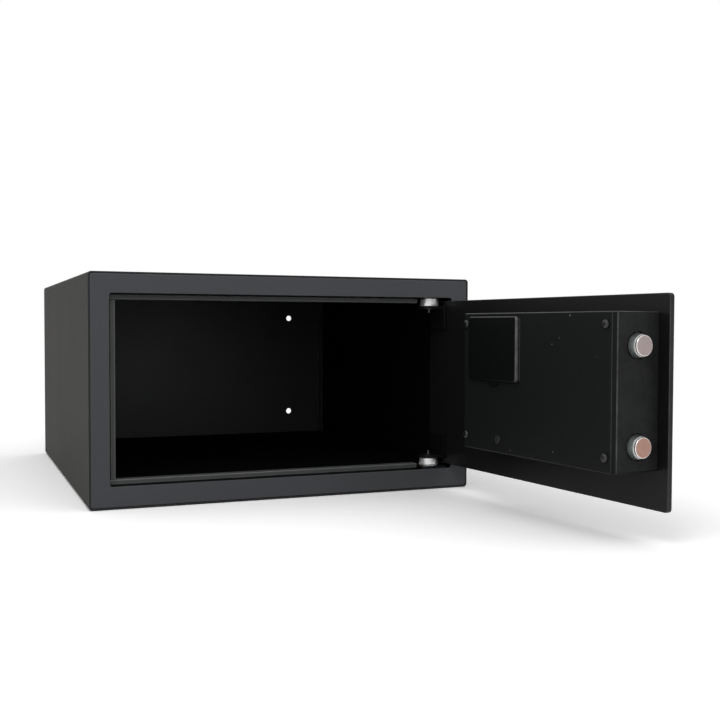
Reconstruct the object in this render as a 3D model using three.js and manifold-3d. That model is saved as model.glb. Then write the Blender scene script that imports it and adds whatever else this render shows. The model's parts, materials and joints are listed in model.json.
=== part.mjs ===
// A steel box safe with an electronic lock: a folded case, and a door that turns on two pins.
// Millimetres, Z up, X to the right along the front, Y from the front to the back.
// The origin is the centre of the base. The door stands open, as it is usually shown.
import * as THREE from "three";
import { mergeVertices } from "three/addons/utils/BufferGeometryUtils.js";
import Module from "manifold-3d";

const wasm = await Module();
wasm.setup();

// Driving dimensions of the case
const caseWidth = 356;
const caseDepth = 410;
const caseHeight = 200;
const shellThickness = 1.6;
const shellCornerRadius = 3;
const frameThickness = 2;
const frameFlangeDepth = 12;
const sideBorder = 17.4;
const topBorder = 17.9;
const bottomBorder = 19;
const openingCornerRadius = 2;

// Clearances shared by every fit
const seatGap = 0.3;
const slidingGap = 0.5;
const turningGap = 0.2;
const overrun = 1;
const weldDistance = 1e-4;

// Places on the case
const left = -caseWidth / 2;
const right = caseWidth / 2;
const front = -caseDepth / 2;
const back = caseDepth / 2;
const openingLeft = left + sideBorder;
const openingRight = right - sideBorder;
const openingTop = caseHeight - topBorder;
const openingBottom = bottomBorder;
const innerLeft = left + shellThickness;
const innerRight = right - shellThickness;
const innerTop = caseHeight - shellThickness;
const innerBottom = shellThickness;

// Door plate: the gaps round it and its hinge line
const doorThickness = 4.2;
const doorCornerRadius = 3;
const doorFreeGap = 1.8;
const doorHingeGap = 2.2;
const doorTopGap = 2.9;
const doorBottomGap = 4.2;
const doorLeft = openingLeft + doorFreeGap;
const doorRight = openingRight - doorHingeGap;
const doorTop = openingTop - doorTopGap;
const doorBottom = openingBottom + doorBottomGap;
const doorInner = front + doorThickness;
const pivotFromEdge = 16.8;
const pivotDepth = 14.8;
const pivotX = openingRight - pivotFromEdge;
const pivotY = front + pivotDepth;
const openDegrees = 95.5;
const openAngle = THREE.MathUtils.degToRad(openDegrees);

// Door stop: a joggled strip of sheet behind the opening
const stopSheet = 1.5;
const stopWidth = 5.4;
const stopGap = 0.4;
const stopReturn = 8;
const stopWeldLeaf = 9;
const stopFace = doorInner + stopGap;
const stopBack = stopFace + stopSheet;
const stopEndFromPivot = 17.4;
const stopEnd = pivotX - stopEndFromPivot;
const jambDepth = 40;
const jambBack = front + jambDepth;
const strikeClearance = 1;

// Hinge hardware
const bushRadius = 8.8;
const bushFlangeRadius = 10.2;
const bushFlangeThickness = 1.3;
const bushHeight = 7.3;
const bushGrooveDepth = 0.6;
const bushGrooveWidth = 0.8;
const bushBandCount = 3;
const pinRadius = 3;
const pinTipRadius = 1.2;
const pinTipLength = 3.4;
const bracketThickness = 3;
const bracketReach = 12;
const bracketRimGap = 2;
const bracketRightReach = 13;
const armThickness = 2.5;
const armPlateGap = 0.6;
const armRadius = pivotDepth - doorThickness - armPlateGap;
const armLegHeight = 22;
const armLegThickness = 2.5;
const armLegReach = 15;
const lowerBushRise = 2.2;
const lowerBushBase = openingBottom + lowerBushRise;
const upperBushBase = openingTop - seatGap - bushHeight;

// Inner floor
const floorSheet = 1.2;
const floorHeight = 11;
const matThickness = 3;
const floorFrontSetback = 16;
const floorBackSetback = 14;
const matEdgeGap = 3;
const panEdgeGap = 1.5;

// Rear plate and its anchor holes
const backFlangeDepth = 10;
const anchorRadius = 3.5;
const anchorFromSide = 46;
const anchorFromBottom = 42;
const anchorFromTop = 35.2;
const anchorHeights = [anchorFromBottom, caseHeight - anchorFromTop];

// Lock cover on the door, a folded box open towards the plate
const coverSheet = 1.2;
const coverDepth = 41.4;
const coverFreeInset = 10.4;
const coverWidth = 187.6;
const coverBottomInset = 28.8;
const coverTopInset = 13.2;
const coverBend = 3.5;
const coverEdgeRadius = 1.5;
const coverLeft = doorLeft + coverFreeInset;
const coverRight = coverLeft + coverWidth;
const coverBottom = doorBottom + coverBottomInset;
const coverTop = doorTop - coverTopInset;
const coverFace = doorInner + coverDepth;
const coverBack = doorInner + seatGap;
const coverInner = coverFace - coverSheet;

// Cover screws: two go into the bolt guide, two into posts welded on the plate
const screwHeadRadius = 3.3;
const screwHeadHeight = 1.9;
const screwShankRadius = 1.5;
const screwLength = 8;
const screwFreeInset = 8.6;
const screwHingeInset = 6.6;
const screwBottomInset = 11;
const screwTopInset = 9;
const screwHeights = [coverBottom + screwBottomInset, coverTop - screwTopInset];
const postRadius = 4;
const screwXs = [coverLeft + screwFreeInset, coverRight - screwHingeInset];

// Locking bolts and what drives them
const boltRadius = 9.2;
const boltChamfer = 1.7;
const boltLength = 38;
const boltProud = 5.4;
const boltThrow = 18;
const boltDepth = 24;
const lowerBoltInset = 18.4;
const upperBoltInset = 24.1;
const boltHeights = {
  bolt_lower: coverBottom + lowerBoltInset,
  bolt_upper: coverTop - upperBoltInset,
};
const boltY = front + boltDepth;
const boltEnd = coverLeft - boltProud;
const guideSheet = 2;
const guideInset = 3;
const guideFlange = 12;
const guideMargin = 5;
const carriageBar = 4;
const carriageBarMargin = 2.5;
const carriageEndMargin = 3;
const carriagePlate = 3;
const crankRadius = boltThrow / Math.SQRT2;
const crankPinRadius = 2.5;
const crankSlotGap = 0.8;
const crankEyeRadius = 5;
const crankHubRadius = 6;
const crankShaftRadius = 3;
const crankThickness = 3;
const carriageReach = 7.4;
const carriageArmHalf = 10;
const carriageRight = boltEnd + boltLength + seatGap + carriageBar;
const gearboxClearance = 2;
const gearboxWidth = 38;
const gearboxHeight = 48;
const gearboxDepth = 16;
const gearboxBelow = 17;
const gearboxCorner = 3;
const shaftSeat = 2.4;
const motorRadius = 11;
const motorLength = 24;
const motorFloorGap = 2.8;
const crankX = carriageRight + gearboxClearance + gearboxWidth / 2;
const crankZ = coverBottom + coverSheet + motorFloorGap + motorLength + gearboxBelow;
const crankPinX = crankX + boltThrow / 2;
const crankPinZ = crankZ + boltThrow / 2;
const footWidth = 22;
const footHeight = 6;
const footInset = 4;

// Battery compartment: four cells side by side set the size of the tray and of its lid
const cellRadius = 7.1;
const cellLength = 49.2;
const cellNubRadius = 2.7;
const cellNubLength = 1;
const cellCount = 4;
const cellGap = 1.7;
const contactRoom = 1.3;
const trayWall = 1.4;
const trayEndWall = 0.7;
const trayDepth = 17.5;
const trayToPost = 1.4;
const cellPitch = 2 * cellRadius + cellGap;
const lidWidth = cellCount * cellPitch + 2 * trayWall;
const lidHeight = cellLength + cellNubLength + 2 * contactRoom;
const lidThickness = 2.4;
const lidCorner = 5;
const lidHingeInset = screwHingeInset + postRadius + trayToPost;
const lidTopInset = 2.8;
const lidTop = coverTop - lidTopInset;
const lidOverlap = 1.6;
const lidTabWidth = 12;
const lidTabHeight = 4;
const lidTabThickness = 1.2;
const lidHookDepth = 4;
const lidHookThickness = 1.2;
const lidRight = coverRight - lidHingeInset;
const lidLeft = lidRight - lidWidth;
const lidBottom = lidTop - lidHeight;

// Circuit board and reset button
const boardThickness = 1.6;
const boardWidth = 62;
const boardRise = 5;
const boardToTray = 7.4;
const boardBottom = coverBottom + boardRise;
const boardTop = lidBottom - boardToTray;
const boardFromCover = 12.6;
const boardFace = coverInner - boardFromCover;
const boardBack = boardFace - boardThickness;
const boardPostRadius = 3;
const boardPostInset = 7;
const resetRadius = 3.4;
const resetProud = 1.2;
const resetCollarRadius = 4.8;
const resetCollarThickness = 1.5;
const resetTravel = 1.5;
const resetStemGap = 2.5;
const resetFromRight = 52.1;
const resetRise = 10.8;
const resetX = coverRight - resetFromRight;
const resetZ = coverBottom + resetRise;

// Keys on the outside of the door: the names run upwards from the bottom row
const keyNames = [
  ["key_clear", "key_0", "key_enter"],
  ["key_7", "key_8", "key_9"],
  ["key_4", "key_5", "key_6"],
  ["key_1", "key_2", "key_3"],
];
const keyWidth = 17;
const keyHeight = 13;
const keyCorner = 2.5;
const keyProud = 1.6;
const keyTravel = 1.2;
const keySkirt = 1;
const keySkirtThickness = 1.5;
const keyGap = 5;
const keyPitchX = keyWidth + keyGap;
const keyPitchZ = keyHeight + keyGap;
const keyBlockRight = 16;
const keyBlockBottom = 15;
const keyBlockTop = 15;

// Keypad housing: it lies round the key lock, which comes up just past the gearbox
const lockInset = 20;
const lockToGearbox = 13.7;
const lockBodyRadius = 8;
const lockX = crankX + gearboxWidth / 2 + lockToGearbox + lockBodyRadius;
const bezelWidth = 128;
const bezelHeight = keyBlockBottom + (keyNames.length - 1) * keyPitchZ + keyBlockTop;
const bezelThickness = 12;
const bezelCorner = 12;
const bezelWall = 3;
const bezelLeft = lockX - lockInset;
const bezelRight = bezelLeft + bezelWidth;
const bezelBottom = (doorBottom + doorTop - bezelHeight) / 2;
const bezelTop = bezelBottom + bezelHeight;
const bezelBack = front - seatGap;
const bezelFace = bezelBack - bezelThickness;
const keysLeft = bezelRight - keyBlockRight - (keyNames[0].length - 1) * keyPitchX - keyWidth / 2;
const padBoardThickness = 1.6;
const padBoardInset = bezelWall + seatGap;
const domeRadius = 3;
const displayToKeys = 12.5;
const displayHeight = 20;
const displayInset = 9;
const displayThickness = 1.5;
const displayRecess = 0.4;

// Emergency key lock behind a cap that swings aside
const lockZ = bezelBottom + lockInset;
const lockHeadRadius = 9.5;
const lockHeadThickness = 2;
const lockBodyLength = 20;
const rotorRadius = 5;
const keySlotWidth = 1.6;
const keySlotHeight = 7;
const keySlotDepth = 8;
const camLength = 10;
const camWidth = 6;
const camThickness = 2;
const capRadius = 14;
const capShift = 2;
const capThickness = 2;
const capPivotRise = 12.4;
const capRivetRadius = 1.6;
const capRivetDepth = 2.4;
const cableHoleRadius = 6;

// Facet counts
const roundSteps = 32;
const smallSteps = 20;
const domeSteps = 12;
const cornerSteps = 5;
const keyCornerSteps = 3;

// Turns a closed geometry into a solid that faces out.
function solidFrom(geometry) {
  const bare = geometry.clone();
  bare.deleteAttribute("normal");
  bare.deleteAttribute("uv");
  const merged = mergeVertices(bare, weldDistance);
  const vertProperties = new Float32Array(merged.attributes.position.array);
  const triVerts = new Uint32Array(merged.index.array);
  const made = new wasm.Manifold(new wasm.Mesh({ numProp: 3, vertProperties, triVerts }));
  if (made.volume() > 0) return made;
  for (let i = 0; i < triVerts.length; i += 3) {
    [triVerts[i + 1], triVerts[i + 2]] = [triVerts[i + 2], triVerts[i + 1]];
  }
  return new wasm.Manifold(new wasm.Mesh({ numProp: 3, vertProperties, triVerts }));
}

// Turns a solid back into a geometry for a mesh.
function geometryFrom(solid) {
  const mesh = solid.getMesh();
  const geometry = new THREE.BufferGeometry();
  geometry.setAttribute("position", new THREE.BufferAttribute(mesh.vertProperties, mesh.numProp));
  geometry.setIndex(new THREE.BufferAttribute(mesh.triVerts, 1));
  const faceted = geometry.toNonIndexed();
  faceted.computeVertexNormals();
  return faceted;
}

function join(first, ...others) {
  return others.reduce((whole, piece) => whole.add(piece), first);
}

function cut(first, ...others) {
  return others.reduce((whole, piece) => whole.subtract(piece), first);
}

// A box between two corners.
function block(x0, x1, y0, y1, z0, z1) {
  const geometry = new THREE.BoxGeometry(x1 - x0, y1 - y0, z1 - z0);
  geometry.translate((x0 + x1) / 2, (y0 + y1) / 2, (z0 + z1) / 2);
  return solidFrom(geometry);
}

// Outlines are lists of points in the plane across the prism's axis.
function rectangle(u0, u1, v0, v1) {
  return [
    new THREE.Vector2(u0, v0),
    new THREE.Vector2(u1, v0),
    new THREE.Vector2(u1, v1),
    new THREE.Vector2(u0, v1),
  ];
}

function rounded(u0, u1, v0, v1, radius, steps = cornerSteps) {
  const points = [];
  const corners = [
    [u1 - radius, v0 + radius, -Math.PI / 2],
    [u1 - radius, v1 - radius, 0],
    [u0 + radius, v1 - radius, Math.PI / 2],
    [u0 + radius, v0 + radius, Math.PI],
  ];
  for (const [u, v, start] of corners) {
    for (let i = 0; i <= steps; i++) {
      const angle = start + (i / steps) * (Math.PI / 2);
      points.push(new THREE.Vector2(u + radius * Math.cos(angle), v + radius * Math.sin(angle)));
    }
  }
  return points;
}

function circle(u, v, radius, steps = roundSteps) {
  const points = [];
  for (let i = 0; i < steps; i++) {
    const angle = (i / steps) * 2 * Math.PI;
    points.push(new THREE.Vector2(u + radius * Math.cos(angle), v + radius * Math.sin(angle)));
  }
  return points;
}

// A prism along one axis. The outline is in (y, z) for x, in (x, z) for y, and in (x, y) for z.
function prism(axis, from, to, outline, holes = []) {
  const shape = new THREE.Shape(outline);
  for (const hole of holes) shape.holes.push(new THREE.Path(hole));
  const geometry = new THREE.ExtrudeGeometry(shape, { depth: to - from, bevelEnabled: false });
  const X = new THREE.Vector3(1, 0, 0);
  const Y = new THREE.Vector3(0, 1, 0);
  const Z = new THREE.Vector3(0, 0, 1);
  const turn = new THREE.Matrix4();
  if (axis === "x") turn.makeBasis(Y, Z, X).setPosition(from, 0, 0);
  if (axis === "y") turn.makeBasis(X, Z, Y.negate()).setPosition(0, to, 0);
  if (axis === "z") turn.setPosition(0, 0, from);
  return solidFrom(geometry.applyMatrix4(turn));
}

function rod(axis, from, to, u, v, radius, steps = roundSteps) {
  return prism(axis, from, to, circle(u, v, radius, steps));
}

// A turned piece: the profile is a closed list of [radius, height] along the axis.
function turned(axis, u, v, profile, steps = roundSteps) {
  const points = profile.map(([radius, height]) => new THREE.Vector2(radius, height));
  const geometry = new THREE.LatheGeometry(points, steps);
  if (axis === "z") geometry.rotateX(Math.PI / 2).translate(u, v, 0);
  if (axis === "y") geometry.translate(u, 0, v);
  if (axis === "x") geometry.rotateZ(-Math.PI / 2).translate(0, u, v);
  return solidFrom(geometry);
}

// Materials
function paintedSteel(color, roughness = 0.62) {
  return new THREE.MeshStandardMaterial({ color, roughness, metalness: 0.25 });
}

function platedSteel(color, roughness) {
  return new THREE.MeshStandardMaterial({ color, roughness, metalness: 1 });
}

function moulding(color, roughness) {
  return new THREE.MeshStandardMaterial({ color, roughness, metalness: 0 });
}

const finishes = {
  casePaint: paintedSteel("#2f3135"),
  framePaint: paintedSteel("#34363a"),
  stopPaint: paintedSteel("#303236"),
  innerPaint: paintedSteel("#1a1b1d"),
  doorPaint: paintedSteel("#232527"),
  coverPaint: paintedSteel("#26282a", 0.5),
  armPaint: paintedSteel("#141516"),
  chrome: platedSteel("#c9cccd", 0.15),
  boltSteel: platedSteel("#a8a29e", 0.3),
  zinc: platedSteel("#8d9094", 0.4),
  blackScrew: platedSteel("#2a2b2d", 0.35),
  mat: moulding("#0b0b0c", 0.98),
  blackPlastic: moulding("#17181a", 0.45),
  keyPlastic: moulding("#3a3c40", 0.5),
  buttonPlastic: moulding("#1b1c1d", 0.4),
  board: moulding("#174027", 0.5),
  cellWrap: moulding("#3b3f46", 0.35),
  window: moulding("#0a0d10", 0.1),
};

const group = new THREE.Group();
const door = new THREE.Group();
door.position.set(pivotX, pivotY, 0);
door.rotation.z = openAngle;
group.add(door);

// Adds a named piece to the case, or to the door in its closed place.
function addToCase(name, solid, finish) {
  const mesh = new THREE.Mesh(geometryFrom(solid), finish.clone());
  mesh.name = name;
  group.add(mesh);
}

function addToDoor(name, solid, finish) {
  const geometry = geometryFrom(solid).translate(-pivotX, -pivotY, 0);
  const mesh = new THREE.Mesh(geometry, finish.clone());
  mesh.name = name;
  door.add(mesh);
}

// The wrap: one folded tube of sheet, with the plates set inside its two mouths.
function shell() {
  const outer = rounded(left, right, 0, caseHeight, shellCornerRadius);
  const innerRadius = shellCornerRadius - shellThickness;
  const inner = rounded(innerLeft, innerRight, innerBottom, innerTop, innerRadius);
  return prism("y", front, back, outer, [inner]);
}

// A plate with its rim turned back, as both ends of the case have.
function rimmedPlate(y0, y1, flangeStart, flangeEnd, sheet) {
  const x0 = innerLeft + seatGap;
  const x1 = innerRight - seatGap;
  const z0 = innerBottom + seatGap;
  const z1 = innerTop - seatGap;
  const radius = shellCornerRadius - shellThickness;
  const outline = rounded(x0, x1, z0, z1, radius);
  const rim = prism("y", flangeStart, flangeEnd, outline, [
    rectangle(x0 + sheet, x1 - sheet, z0 + sheet, z1 - sheet),
  ]);
  return join(prism("y", y0, y1, outline), rim);
}

function frontFrame() {
  const plate = rimmedPlate(
    front,
    front + frameThickness,
    front,
    front + frameThickness + frameFlangeDepth,
    frameThickness,
  );
  const hole = rounded(openingLeft, openingRight, openingBottom, openingTop, openingCornerRadius);
  return cut(plate, prism("y", front - overrun, front + frameThickness + overrun, hole));
}

function backPanel() {
  const plate = rimmedPlate(
    back - frameThickness,
    back,
    back - frameThickness - backFlangeDepth,
    back,
    frameThickness,
  );
  const holes = [];
  const holeStart = back - frameThickness - overrun;
  for (const x of [left + anchorFromSide, right - anchorFromSide]) {
    for (const z of anchorHeights) {
      holes.push(rod("y", holeStart, back + overrun, x, z, anchorRadius, smallSteps));
    }
  }
  return cut(plate, ...holes);
}

// The strip's section, from its weld leaf to its return. d runs into the opening from its edge.
function stopSection(place) {
  const frameBack = front + frameThickness + seatGap;
  return [
    place(-stopWeldLeaf, frameBack),
    place(0, frameBack),
    place(0, stopFace),
    place(stopWidth, stopFace),
    place(stopWidth, stopBack + stopReturn),
    place(stopWidth - stopSheet, stopBack + stopReturn),
    place(stopWidth - stopSheet, stopBack),
    place(-stopSheet, stopBack),
    place(-stopSheet, frameBack + stopSheet),
    place(-stopWeldLeaf, frameBack + stopSheet),
  ];
}

function stopTop() {
  const section = stopSection((d, y) => new THREE.Vector2(y, openingTop - d));
  return prism("x", openingLeft, stopEnd, section);
}

function stopBottom() {
  const section = stopSection((d, y) => new THREE.Vector2(y, openingBottom + d));
  return prism("x", openingLeft, stopEnd, section);
}

// The left-hand strip goes on back as a box section, and the bolts enter its return.
function strikeJamb() {
  const frameBack = front + frameThickness + seatGap;
  const inner = openingLeft + stopWidth;
  const section = [
    new THREE.Vector2(openingLeft - stopWeldLeaf, frameBack),
    new THREE.Vector2(openingLeft, frameBack),
    new THREE.Vector2(openingLeft, stopFace),
    new THREE.Vector2(inner, stopFace),
    new THREE.Vector2(inner, jambBack),
    new THREE.Vector2(innerLeft + seatGap, jambBack),
    new THREE.Vector2(innerLeft + seatGap, jambBack - stopSheet),
    new THREE.Vector2(inner - stopSheet, jambBack - stopSheet),
    new THREE.Vector2(inner - stopSheet, stopBack),
    new THREE.Vector2(openingLeft - stopSheet, stopBack),
    new THREE.Vector2(openingLeft - stopSheet, frameBack + stopSheet),
    new THREE.Vector2(openingLeft - stopWeldLeaf, frameBack + stopSheet),
  ];
  const bottom = openingBottom + stopWidth + seatGap;
  const top = openingTop - stopWidth - seatGap;
  const holes = Object.values(boltHeights).map((z) =>
    rod("x", inner - stopSheet - overrun, inner + overrun, boltY, z, boltRadius + strikeClearance),
  );
  return cut(prism("z", bottom, top, section), ...holes);
}

function floorPan() {
  const x0 = innerLeft + panEdgeGap;
  const x1 = innerRight - panEdgeGap;
  const z0 = innerBottom + seatGap;
  const section = [
    new THREE.Vector2(x0, z0),
    new THREE.Vector2(x0 + floorSheet, z0),
    new THREE.Vector2(x0 + floorSheet, floorHeight - floorSheet),
    new THREE.Vector2(x1 - floorSheet, floorHeight - floorSheet),
    new THREE.Vector2(x1 - floorSheet, z0),
    new THREE.Vector2(x1, z0),
    new THREE.Vector2(x1, floorHeight),
    new THREE.Vector2(x0, floorHeight),
  ];
  return prism("y", front + floorFrontSetback, back - floorBackSetback, section);
}

function floorMat() {
  const base = floorHeight + seatGap;
  return block(
    innerLeft + matEdgeGap,
    innerRight - matEdgeGap,
    front + floorFrontSetback,
    back - frameThickness - seatGap,
    base,
    base + matThickness,
  );
}

// An angle behind the frame: its leg is on the border, its shelf holds the pin.
function hingeBracket(shelfBase, legBase, legTop) {
  const legFront = front + frameThickness + seatGap;
  const shelfTop = shelfBase + bracketThickness;
  const x0 = pivotX - bracketReach;
  const x1 = pivotX + bracketRightReach;
  const shelf = block(x0, x1, legFront, pivotY + bracketReach, shelfBase, shelfTop);
  const leg = block(x0, x1, legFront, legFront + bracketThickness, legBase, legTop);
  const holeRadius = pinRadius + turningGap;
  const hole = rod("z", shelfBase - overrun, shelfTop + overrun, pivotX, pivotY, holeRadius);
  return cut(join(shelf, leg), hole);
}

// The pin's tip points away from its bracket.
function hingePin(rootZ, shoulderZ, tipZ) {
  return turned("z", pivotX, pivotY, [
    [0, rootZ],
    [pinRadius, rootZ],
    [pinRadius, shoulderZ],
    [pinTipRadius, shoulderZ],
    [pinTipRadius, tipZ],
    [0, tipZ],
  ]);
}

function hingeBush(base) {
  const bore = pinRadius + turningGap;
  const bodyBase = base + bushFlangeThickness;
  const bandHeight = (bushHeight - bushFlangeThickness) / bushBandCount;
  const profile = [
    [bore, base],
    [bushFlangeRadius, base],
    [bushFlangeRadius, bodyBase],
  ];
  for (let i = 0; i < bushBandCount; i++) {
    const low = bodyBase + i * bandHeight;
    const high = low + bandHeight - bushGrooveWidth;
    profile.push([bushRadius - bushGrooveDepth, low]);
    profile.push([bushRadius, low + bushGrooveWidth]);
    if (high > low + bushGrooveWidth) profile.push([bushRadius, high]);
  }
  const top = base + bushHeight;
  profile.push([bushRadius - bushGrooveDepth, top], [bore, top], [bore, base]);
  return turned("z", pivotX, pivotY, profile);
}

// The door plate carries the posts for the cover's hinge-side screws and for the board.
function doorPlate() {
  const outline = rounded(doorLeft, doorRight, doorBottom, doorTop, doorCornerRadius);
  const plate = prism("y", front, doorInner, outline);
  const postRoot = doorInner - overrun;
  const posts = screwHeights.map((z) => {
    const post = rod("y", postRoot, coverInner - seatGap, screwXs[1], z, postRadius, smallSteps);
    const holeEnd = coverInner - screwLength - overrun;
    const hole = rod("y", holeEnd, coverInner, screwXs[1], z, screwShankRadius + seatGap, smallSteps);
    return cut(post, hole);
  });
  const boardPosts = boardPostPlaces().map(([x, z]) =>
    rod("y", postRoot, boardBack - seatGap, x, z, boardPostRadius, smallSteps),
  );
  const lockHoleRadius = lockBodyRadius + seatGap;
  const lockHole = rod("y", front - overrun, doorInner + overrun, lockX, lockZ, lockHoleRadius);
  const cableX = (bezelLeft + bezelRight) / 2;
  const cableZ = (bezelBottom + bezelTop) / 2;
  const cableHole = rod("y", front - overrun, doorInner + overrun, cableX, cableZ, cableHoleRadius);
  return cut(join(plate, ...posts, ...boardPosts), lockHole, cableHole);
}

function boardPostPlaces() {
  const boardRight = lidRight;
  const x0 = boardRight - boardWidth + boardPostInset;
  const x1 = boardRight - boardPostInset;
  return [
    [x0, boardTop - boardPostInset],
    [x1, boardTop - boardPostInset],
    [x0, boardBottom + boardPostInset],
  ];
}

// An angle on the door: its leg is on the plate, its eye turns on the pin.
function hingeArm(plateBase, legBase) {
  const plateTop = plateBase + armThickness;
  const y0 = doorInner + seatGap;
  const tongue = block(pivotX - armRadius, pivotX + armRadius, y0, pivotY, plateBase, plateTop);
  const eye = rod("z", plateBase, plateTop, pivotX, pivotY, armRadius);
  const x0 = pivotX - armLegReach;
  const x1 = pivotX + armRadius;
  const leg = block(x0, x1, y0, y0 + armLegThickness, legBase, legBase + armLegHeight);
  const holeRadius = pinRadius + turningGap;
  const hole = rod("z", plateBase - overrun, plateTop + overrun, pivotX, pivotY, holeRadius);
  return cut(join(tongue, eye, leg), hole);
}

// A box folded from sheet: bent at both ends, with its long edges rounded a little.
function lockCover() {
  const outer = bentBox(
    coverLeft,
    coverRight,
    coverBack,
    coverFace,
    coverBottom,
    coverTop,
    coverBend,
    coverEdgeRadius,
  );
  const inner = bentBox(
    coverLeft + coverSheet,
    coverRight - coverSheet,
    coverBack - overrun,
    coverInner,
    coverBottom + coverSheet,
    coverTop - coverSheet,
    coverBend - coverSheet,
    coverEdgeRadius - coverSheet,
  );
  const holes = [];
  const endIn = coverLeft - overrun;
  const endOut = coverLeft + coverSheet + overrun;
  for (const z of Object.values(boltHeights)) {
    holes.push(rod("x", endIn, endOut, boltY, z, boltRadius + slidingGap));
  }
  const faceIn = coverInner - overrun;
  const faceOut = coverFace + overrun;
  for (const x of screwXs) {
    for (const z of screwHeights) {
      holes.push(rod("y", faceIn, faceOut, x, z, screwShankRadius + seatGap, smallSteps));
    }
  }
  holes.push(rod("y", faceIn, faceOut, resetX, resetZ, resetRadius + seatGap, smallSteps));
  const mouth = rectangle(
    lidLeft + lidOverlap,
    lidRight - lidOverlap,
    lidBottom + lidOverlap,
    lidTop - lidOverlap,
  );
  holes.push(prism("y", faceIn, faceOut, mouth));
  holes.push(hookSlot());
  return cut(outer, inner, ...holes);
}

// A box with its ends rounded over towards the face, and its top and bottom edges a little.
function bentBox(x0, x1, y0, y1, z0, z1, endRadius, edgeRadius) {
  const lengthways = [
    new THREE.Vector2(x0, y0),
    new THREE.Vector2(x1, y0),
    ...arc(x1 - endRadius, y1 - endRadius, endRadius, 0),
    ...arc(x0 + endRadius, y1 - endRadius, endRadius, Math.PI / 2),
  ];
  const across = [
    new THREE.Vector2(y0, z1),
    new THREE.Vector2(y0, z0),
    ...arc(y1 - edgeRadius, z0 + edgeRadius, edgeRadius, -Math.PI / 2),
    ...arc(y1 - edgeRadius, z1 - edgeRadius, edgeRadius, 0),
  ];
  return prism("z", z0, z1, lengthways).intersect(prism("x", x0, x1, across));
}

// A quarter turn of points, anticlockwise from the start angle.
function arc(u, v, radius, start) {
  const points = [];
  for (let i = 0; i <= cornerSteps; i++) {
    const angle = start + (i / cornerSteps) * (Math.PI / 2);
    points.push(new THREE.Vector2(u + radius * Math.cos(angle), v + radius * Math.sin(angle)));
  }
  return points;
}

function hookSlot() {
  const x = (lidLeft + lidRight) / 2;
  const half = lidTabWidth / 4 + slidingGap;
  const z = lidBottom - lidTabHeight;
  return block(
    x - half,
    x + half,
    coverInner - overrun,
    coverFace + overrun,
    z - slidingGap,
    z + lidHookThickness + slidingGap,
  );
}

// The lid hooks in under its tab and tilts out from its top edge.
function batteryLid() {
  const base = coverFace + seatGap;
  const outline = rounded(lidLeft, lidRight, lidBottom, lidTop, lidCorner);
  const plate = prism("y", base, base + lidThickness, outline);
  const x = (lidLeft + lidRight) / 2;
  const tabHalf = lidTabWidth / 2;
  const tabEnd = lidBottom - lidTabHeight;
  const tab = block(x - tabHalf, x + tabHalf, base, base + lidTabThickness, tabEnd, lidBottom + lidTabHeight);
  const hook = block(
    x - tabHalf / 2,
    x + tabHalf / 2,
    base - lidHookDepth,
    base + lidTabThickness / 2,
    tabEnd,
    tabEnd + lidHookThickness,
  );
  return join(plate, tab, hook);
}

// The head is a low dome turned from an arc.
function coverScrew(x, z) {
  const seat = coverFace + seatGap;
  const profile = [
    [0, seat - screwLength],
    [screwShankRadius, seat - screwLength],
    [screwShankRadius, seat],
    [screwHeadRadius, seat],
  ];
  for (let i = 1; i <= cornerSteps; i++) {
    const angle = (i / cornerSteps) * (Math.PI / 2);
    const radius = i === cornerSteps ? 0 : screwHeadRadius * Math.cos(angle);
    profile.push([radius, seat + screwHeadHeight * Math.sin(angle)]);
  }
  return turned("y", x, z, profile, smallSteps);
}

// A channel of sheet: a foot on the plate, a web the bolts run through, and a screw flange.
function boltGuide() {
  const x0 = coverLeft + guideInset;
  const x1 = x0 + guideFlange;
  const y0 = doorInner + seatGap;
  const y1 = coverInner - seatGap;
  const z0 = coverBottom + guideMargin;
  const z1 = coverTop - guideMargin;
  const section = [
    new THREE.Vector2(x0, y0),
    new THREE.Vector2(x1, y0),
    new THREE.Vector2(x1, y0 + guideSheet),
    new THREE.Vector2(x0 + guideSheet, y0 + guideSheet),
    new THREE.Vector2(x0 + guideSheet, y1 - guideSheet),
    new THREE.Vector2(x1, y1 - guideSheet),
    new THREE.Vector2(x1, y1),
    new THREE.Vector2(x0, y1),
  ];
  const holes = Object.values(boltHeights).map((z) =>
    rod("x", x0 - overrun, x0 + guideSheet + overrun, boltY, z, boltRadius + seatGap),
  );
  for (const z of screwHeights) {
    const from = y1 - guideSheet - overrun;
    holes.push(rod("y", from, y1 + overrun, screwXs[0], z, screwShankRadius + seatGap, smallSteps));
  }
  return cut(prism("z", z0, z1, section), ...holes);
}

function lockingBolt(z) {
  return turned("x", boltY, z, [
    [0, boltEnd],
    [boltRadius - boltChamfer, boltEnd],
    [boltRadius, boltEnd + boltChamfer],
    [boltRadius, boltEnd + boltLength],
    [0, boltEnd + boltLength],
  ]);
}

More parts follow.
